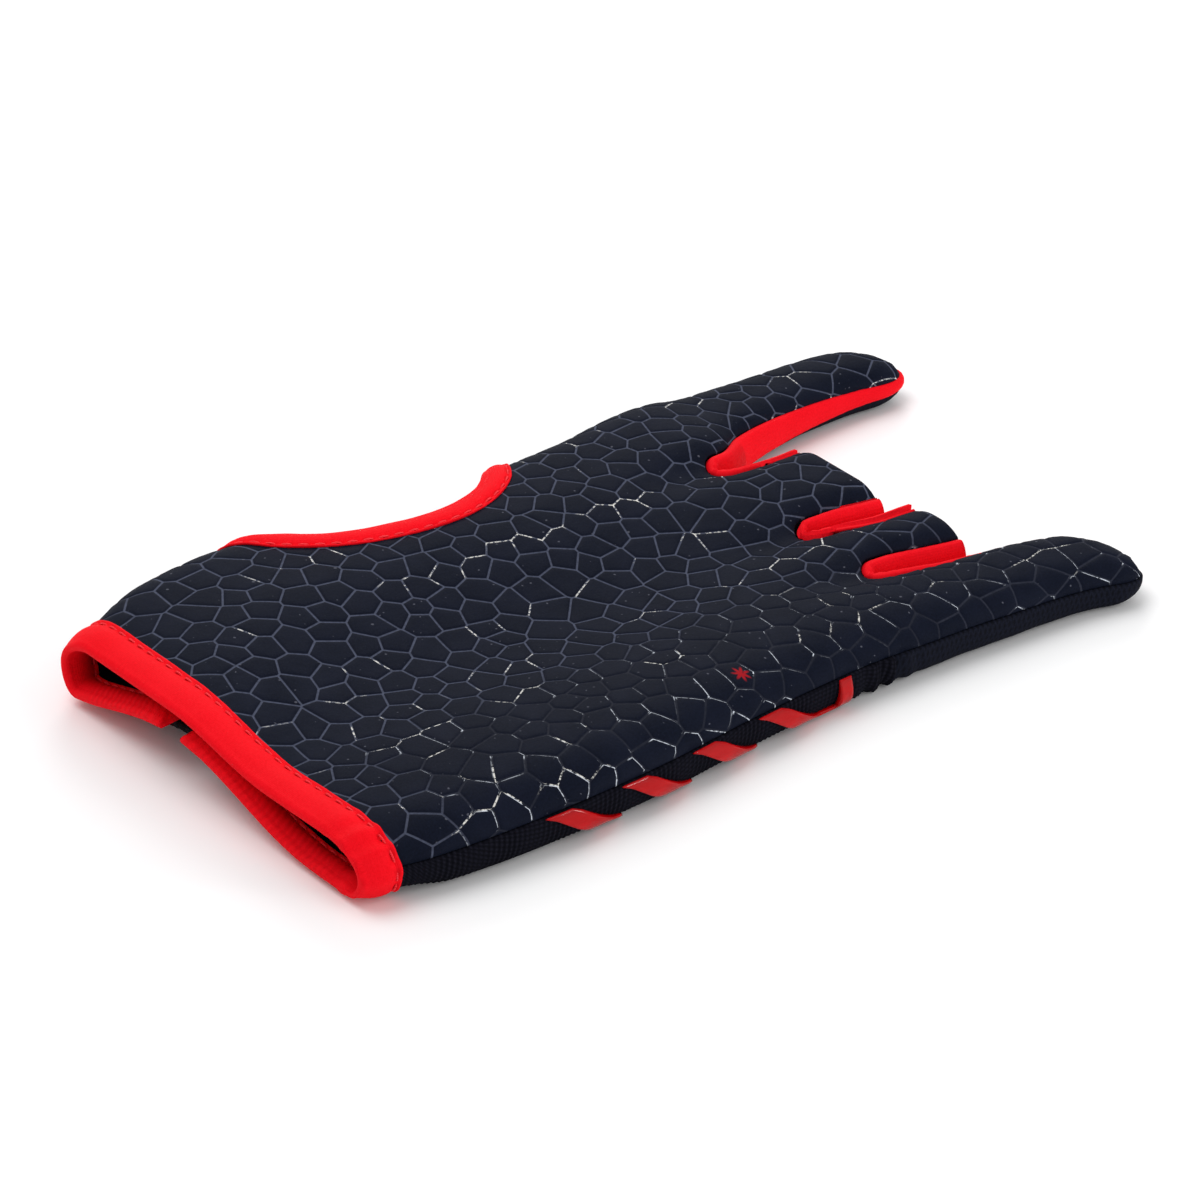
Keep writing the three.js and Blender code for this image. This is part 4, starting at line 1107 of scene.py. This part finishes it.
build_gusset(2, "gusset_index_middle")
build_gusset(1, "gusset_middle_ring")
build_gusset(0, "gusset_ring_little")


# The red tape folded over the edges, with its stitches

# Shares of the tape's width, from its inner edge to the rim, and how high its outer side stands there
OUTER_SIDE = [(1.0, 0.6), (1.0, 0.86), (0.985, 1.0), (0.955, 1.06), (0.92, 1.0),
              (0.885, 0.86), (0.85, 0.78), (0.815, 0.86), (0.77, 1.06), (0.68, 1.3),
              (0.55, 1.5), (0.4, 1.56), (0.25, 1.5), (0.1, 1.3), (0.0, 1.08)]
TAPE_STEP, RIM_REACH, RIM_HEIGHT = 0.6, 1.2, 1.08
STITCH_PITCH, STITCH_LENGTH, STITCH_HEIGHT, THREAD_THICK = 2.9, 2.1, 0.9, 0.19

# A thread's course: the share of its length, its lift and the share of its thickness
THREAD_COURSE = [(0, -0.22, 0.5), (0.12, 0.02, 0.95), (0.5, 0.12, 1.05),
                 (0.88, 0.02, 0.95), (1, -0.22, 0.5)]


def dense(stations, gap, turn):
    """Stations (edge row, edge loop, inner row, inner loop, mitre) at even steps along the rim, closed."""
    s = np.array(stations, float)
    s = np.vstack([s, s[:1] + [0, turn, 0, turn, 0]])
    fine = np.vstack([lerp(s[k], s[k + 1], np.linspace(0, 1, 12, endpoint=False)[:, None])
                      for k in range(len(s) - 1)] + [s[-1:]])
    middle = lerp(fine[:, :2], fine[:, 2:4], 0.4)
    points = hand(middle[:, 0], middle[:, 1])
    run = run_along(points)
    count = int(round(run[-1] / gap))
    at = np.linspace(0, run[-1], count + 1)
    out = np.stack([np.interp(at, run, fine[:, k]) for k in range(5)], 1)
    return out[:-1], at[:-1]


def tape_place(s, t):
    spot = lerp(s[:, :2], s[:, 2:4], np.asarray(t)[..., None] if np.ndim(t) else t)
    return placed(hand, spot[:, 0], spot[:, 1])


def over_back(s, start, fade):
    """1 where the rim runs over the back of the hand, 0 over the palm."""
    loop = wrapped(s[:, 1])
    return smooth((loop - start) / fade) * smooth((4 - start - loop) / fade)


def build_tape(name, node, stations, turn, width, inside_reach, wrinkles=None):
    s, run = dense(stations, TAPE_STEP, turn)
    rim, half = tape_place(s, 0.0)[0], tape_place(s, 0.5)[0]
    away = unit(rim - half) * s[:, 4:5]
    profile = [(t, 0.0, h, t) for t, h in OUTER_SIDE]
    for angle in np.linspace(0, math.pi, 13)[1:-1]:
        profile.append((0.0, RIM_REACH * math.sin(angle), RIM_HEIGHT * math.cos(angle), 0.0))
    profile += [(t, 0.0, -h, t) for t, h in OUTER_SIDE[::-1]]
    profile += [(0.7, 0.0, -0.52, 0.7), (0.1, 0.0, -0.5, 0.1), (0.0, 0.3, 0.0, 0.0),
                (0.1, 0.0, 0.5, 0.1), (0.7, 0.0, 0.52, 0.7)]
    pucker = np.cos(run * 2 * math.pi / STITCH_PITCH)
    rings, painted_shades, flats, ribs = [], [], [], []
    on_back = over_back(s, 1.15, 0.2)
    for t, a, h, key in profile:
        spread = inside_reach(s) if h < 0 else TAPE_SEEN
        point, normal = tape_place(s, t * spread)
        seam = math.exp(-((key - SEAM_AT) / 0.12) ** 2)
        outward = math.copysign(1, h)
        lift = h + outward * (abs(h) > 0.5) * 0.07 * seam * pucker
        lift = lift + outward * (abs(h) > 0.8) * 0.17 * ripples(point, 8, 11)
        if wrinkles is not None and abs(h) > 0.75:
            lift = lift + outward * wrinkles(point)
        rings.append(point + away * a + normal * np.reshape(lift, (-1, 1)))
        # Painted shade along the stitch line, darkest in the puckers' dips
        painted_shades.append(np.clip(seam * (0.3 - 0.3 * pucker), 0, 1))
        flats.append(laid_flat(run, t * width + h))
        ribs.append(on_back if h < 0 else np.zeros(len(run)))
    ring = np.stack(rings, 1)
    count, size = ring.shape[:2]
    points = above_floor(ring.reshape(-1, 3))
    faces = [tuple(f) for f in grid_faces(count + 1, size, closed=True) % (count * size)]
    values = dict(hollow=np.stack(painted_shades, 1).ravel(), flat=np.stack(flats, 1).reshape(-1, 3),
                  ribbed=np.stack(ribs, 1).ravel())
    made = new_object(name, points, faces, [TAPE], values)
    facing_out(made)
    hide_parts(node)
    stitch_runs(name + "_stitches", s, run, inside_reach)


def threads(name, spots):
    """Short threads, each from a start over a raised middle to an end that dives into the cloth."""
    points, faces = [], []
    for a, b, up in spots:
        along = unit(b - a)
        side = unit(np.cross(up, along))
        first = len(points)
        for t, lift, size in THREAD_COURSE:
            centre = a + (b - a) * t + up * lift
            for k in range(6):
                turn = k * math.pi / 3
                points.append(centre + (side * math.cos(turn) + up * math.sin(turn)) * THREAD_THICK * size)
        faces += [tuple(f) for f in grid_faces(5, 6, closed=True, first=first)]
        faces += [tuple(first + k for k in range(6))[::-1], tuple(first + 24 + k for k in range(6))]
    made = new_object(name, points, faces, [THREAD])
    facing_out(made)


def at_run(run, values, at):
    return np.array([np.interp(at, run, values[:, k]) for k in range(3)])


def stitch_runs(name, s, run, inside_reach):
    spots = []
    for sign in (1, -1):
        reach = (inside_reach(s) if sign < 0 else np.full(len(s), TAPE_SEEN)) * SEAM_AT
        point, normal = tape_place(s, reach)
        line = point + normal * (sign * STITCH_HEIGHT)
        for start in np.arange(0, run[-1] - STITCH_LENGTH, STITCH_PITCH):
            a, b = (at_run(run, line, start + d) for d in (0, STITCH_LENGTH))
            up = at_run(run, normal, start + STITCH_LENGTH / 2) * sign
            spots.append((a, b, unit(up)))
    threads(name, spots)


def slit_spot(row, side, reach):
    return 2 - SLIT_ACROSS - side * (SLIT_WIDTH / 2 + reach) * per_mm(np.asarray(float(row)), False)


def slit_station(row, inner_row, side, mitre, turns=4):
    return (row, turns + slit_spot(row, side, 0),
            inner_row, turns + slit_spot(inner_row, side, SLIT_TAPE), mitre)


def wrist_stations():
    out = [slit_station(0, WRIST_TAPE, -1, 1.2, 0)]
    near = slit_spot(WRIST_TAPE, -1, SLIT_TAPE + 1)
    far = 4 + slit_spot(WRIST_TAPE, 1, SLIT_TAPE + 1)
    out += [(0, loop, WRIST_TAPE, loop, 1) for loop in np.linspace(near, far, 120)]
    out.append(slit_station(0, WRIST_TAPE, 1, 1.2))
    centre = SLIT_LENGTH - SLIT_WIDTH / 2
    rows = lerp(WRIST_TAPE, centre, np.linspace(0.12, 1, 12))
    out += [slit_station(row, row, 1, 1) for row in rows]
    for turn in np.linspace(75, -75, 11) * math.pi / 180:
        spot = []
        for radius in (SLIT_WIDTH / 2, SLIT_WIDTH / 2 + SLIT_TAPE):
            row = centre + radius * math.cos(turn)
            spot += [row, 6 - SLIT_ACROSS - radius * math.sin(turn) * per_mm(np.asarray(row), False)]
        out.append((*spot, 1))
    return out + [slit_station(row, row, -1, 1) for row in rows[::-1]]


def thumb_stations():
    out = []
    for degrees in range(0, 360, 4):
        turn = degrees * math.pi / 180
        on_palm = degrees <= 180
        depth = HOLE_PALM if on_palm else HOLE_BACK
        spot = []
        for reach in (0, THUMB_TAPE):
            row = HOLE_MIDDLE - (HOLE_LENGTH / 2 + reach) * math.cos(turn)
            deep = (depth + reach) * math.sin(turn) * per_mm(np.asarray(row), on_palm)
            spot += [row, 1 - SEAM_RISE * per_mm(np.asarray(row), True) - deep]
        out.append((*spot, 1))
    return out


def wrist_inside(s):
    """How far the wrist's tape reaches in on the inside, a little less over the back."""
    return TAPE_INSIDE - TAPE_INSIDE_LESS * over_back(s, 1.0, 0.25)


def near_corner(point):
    """Creases where the wrist's tape turns round the little finger's side."""
    near = np.exp(-((point[:, 1] + 50) / 7) ** 2)
    return near * 0.4 * np.sin(point[:, 2] * 1.5 + point[:, 1] * 1.1)


build_tape("wrist_tape_cloth", "wrist_tape", wrist_stations(), 4, WRIST_TAPE, wrist_inside, near_corner)
build_tape("thumb_tape_cloth", "thumb_tape", thumb_stations(), 0, THUMB_TAPE,
           lambda s: np.full(len(s), TAPE_SEEN))


# The strap under the slit and the films on the side
def build_strap():
    patches = Patches()
    surface = lambda u, v: hand(u, 2 - SLIT_ACROSS + v * STRAP_LENGTH / 2 * per_mm(u, False))
    rows = np.linspace(STRAP_START - STRAP_MORE, STRAP_START + STRAP_WIDTH, 53)
    patches.add(surface, rows, np.linspace(-1, 1, 61), 1.0, False, STRAP_LENGTH / 2)
    points, normals, flat, faces = patches.joined()
    low = HALF + TAPE_ROOM + SEAM_GAP
    weave = 0.05 * np.cos(flat[:, 1] * 2 * math.pi / 2.1) + 0.03 * ripples(points, 5, 9)
    edge = np.minimum(np.abs(flat[:, 0] - rows[0]), np.abs(flat[:, 0] - rows[-1]))
    band = -0.12 * np.exp(-((edge - 1.6) / 0.4) ** 2)
    made = closed_sheet("strap_webbing", points, normals, faces, low + STRAP_THICK + weave + band,
                        -low, [STRAP], dict(flat=flat))
    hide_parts("closure_strap")


FILM_LOW, FILM_HIGH, FILM_DOME = 0.5, 1.0, 0.85


def film_spot(row, drop):
    below = SEAM_GAP + drop * STRIPE_REACH
    loop = -1 + SEAM_RISE * per_mm(row, True) - below * per_mm(row, False)
    return hand(row, loop)


def build_stripe(k):
    start = STRIPE_START + k * STRIPE_PITCH
    hook = k == 3
    left = lambda drop: start + drop * STRIPE_SLANT
    patches = Patches()
    drops = np.linspace(0, 1, 21)
    surface = lambda u, v: film_spot(left(v) + u * STRIPE_WIDTH, v)
    patches.add(surface, np.linspace(0, 1, 11), drops, -1.0, True, STRIPE_REACH)
    if hook:
        right = start + STRIPE_SLANT + STRIPE_WIDTH + HOOK_GAP
        surface = lambda u, v: film_spot(right + u * HOOK_WIDTH, v)
        patches.add(surface, np.linspace(0, 1, 7), drops, -1.0, True, STRIPE_REACH)
        surface = lambda u, v: film_spot(lerp(left(v) + STRIPE_WIDTH, right, u), v)
        patches.add(surface, np.linspace(0, 1, 7), drops[-5:], -1.0, True, STRIPE_REACH)
    points, normals, flat, faces = patches.joined()
    if (normals[:, 1] > 0).mean() > 0.5:
        normals = -normals
    down = flat[:, 1] / STRIPE_REACH
    dome = FILM_DOME * smooth(down / 0.55) * smooth((1.15 - down) / 0.6) + 0.13 * ripples(points, 6, 60 + k)
    made = closed_sheet(f"stripe_{k + 1}_film", points, normals, faces, FILM_HIGH + dome, -FILM_LOW,
                        [FILM], dict(flat=flat), rim=0.12)
    facing_out(made)
    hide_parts(f"stripe_{k + 1}")


build_strap()
for k in range(4):
    build_stripe(k)


# Floor, light and camera
def floor():
    mesh = bpy.data.meshes.new("floor")
    mesh.from_pydata([(-3, -3, 0), (3, -3, 0), (3, 3, 0), (-3, 3, 0)], [], [(0, 1, 2, 3)])
    made = linked("floor", mesh)
    look = Look("pale_floor", 0.9, Specular_IOR_Level=0.1)
    place = look.place()
    pale = look.mix(look.noise(place, 3.0, 2.0), (0.90, 0.90, 0.91, 1), (0.94, 0.94, 0.94, 1))
    look.set("Base Color", pale)
    mesh.materials.append(look.material)


def lamp(name, place, aim, power, size):
    data = bpy.data.lights.new(name, "AREA")
    data.shape = "DISK"
    data.energy, data.size = power, size
    made = linked(name, data)
    made.location = place
    made.rotation_euler = (Vector(aim) - Vector(place)).to_track_quat("-Z", "Y").to_euler()


floor()
lamp("key", (-0.25, 0.35, 1.1), (0, 0, 0), 7, 1.1)
lamp("fill", (0.5, -0.9, 0.7), (0, 0, 0), 2.5, 0.8)
lamp("back", (0.6, 0.9, 0.6), (0, 0, 0), 4, 0.6)
lamp("low", (0.63, -1.02, 0.12), (0, -0.05, 0), 4.0, 0.16)
world = bpy.data.worlds.new("studio")
world.use_nodes = True
backdrop = next(n for n in world.node_tree.nodes if n.type == "BACKGROUND")
backdrop.inputs["Color"].default_value = (1, 1, 1, 1)
backdrop.inputs["Strength"].default_value = 0.6
scene = bpy.context.scene
scene.world = world
scene.view_settings.view_transform = "Standard"

AZIMUTH, ELEVATION, DISTANCE = math.radians(-37), math.radians(30), 0.730
TARGET = Vector((np.array([88.1, 0.0, 4.75]) - ORIGIN) * MM)
camera_data = bpy.data.cameras.new("camera")
camera_data.lens, camera_data.sensor_width = 117.6, 36
camera_data.clip_start = 0.01
camera = linked("camera", camera_data)
level = math.cos(ELEVATION)
back = Vector((math.sin(AZIMUTH) * level, -math.cos(AZIMUTH) * level, math.sin(ELEVATION)))
camera.location = TARGET + back * DISTANCE
camera.rotation_euler = back.to_track_quat("Z", "Y").to_euler()
scene.camera = camera
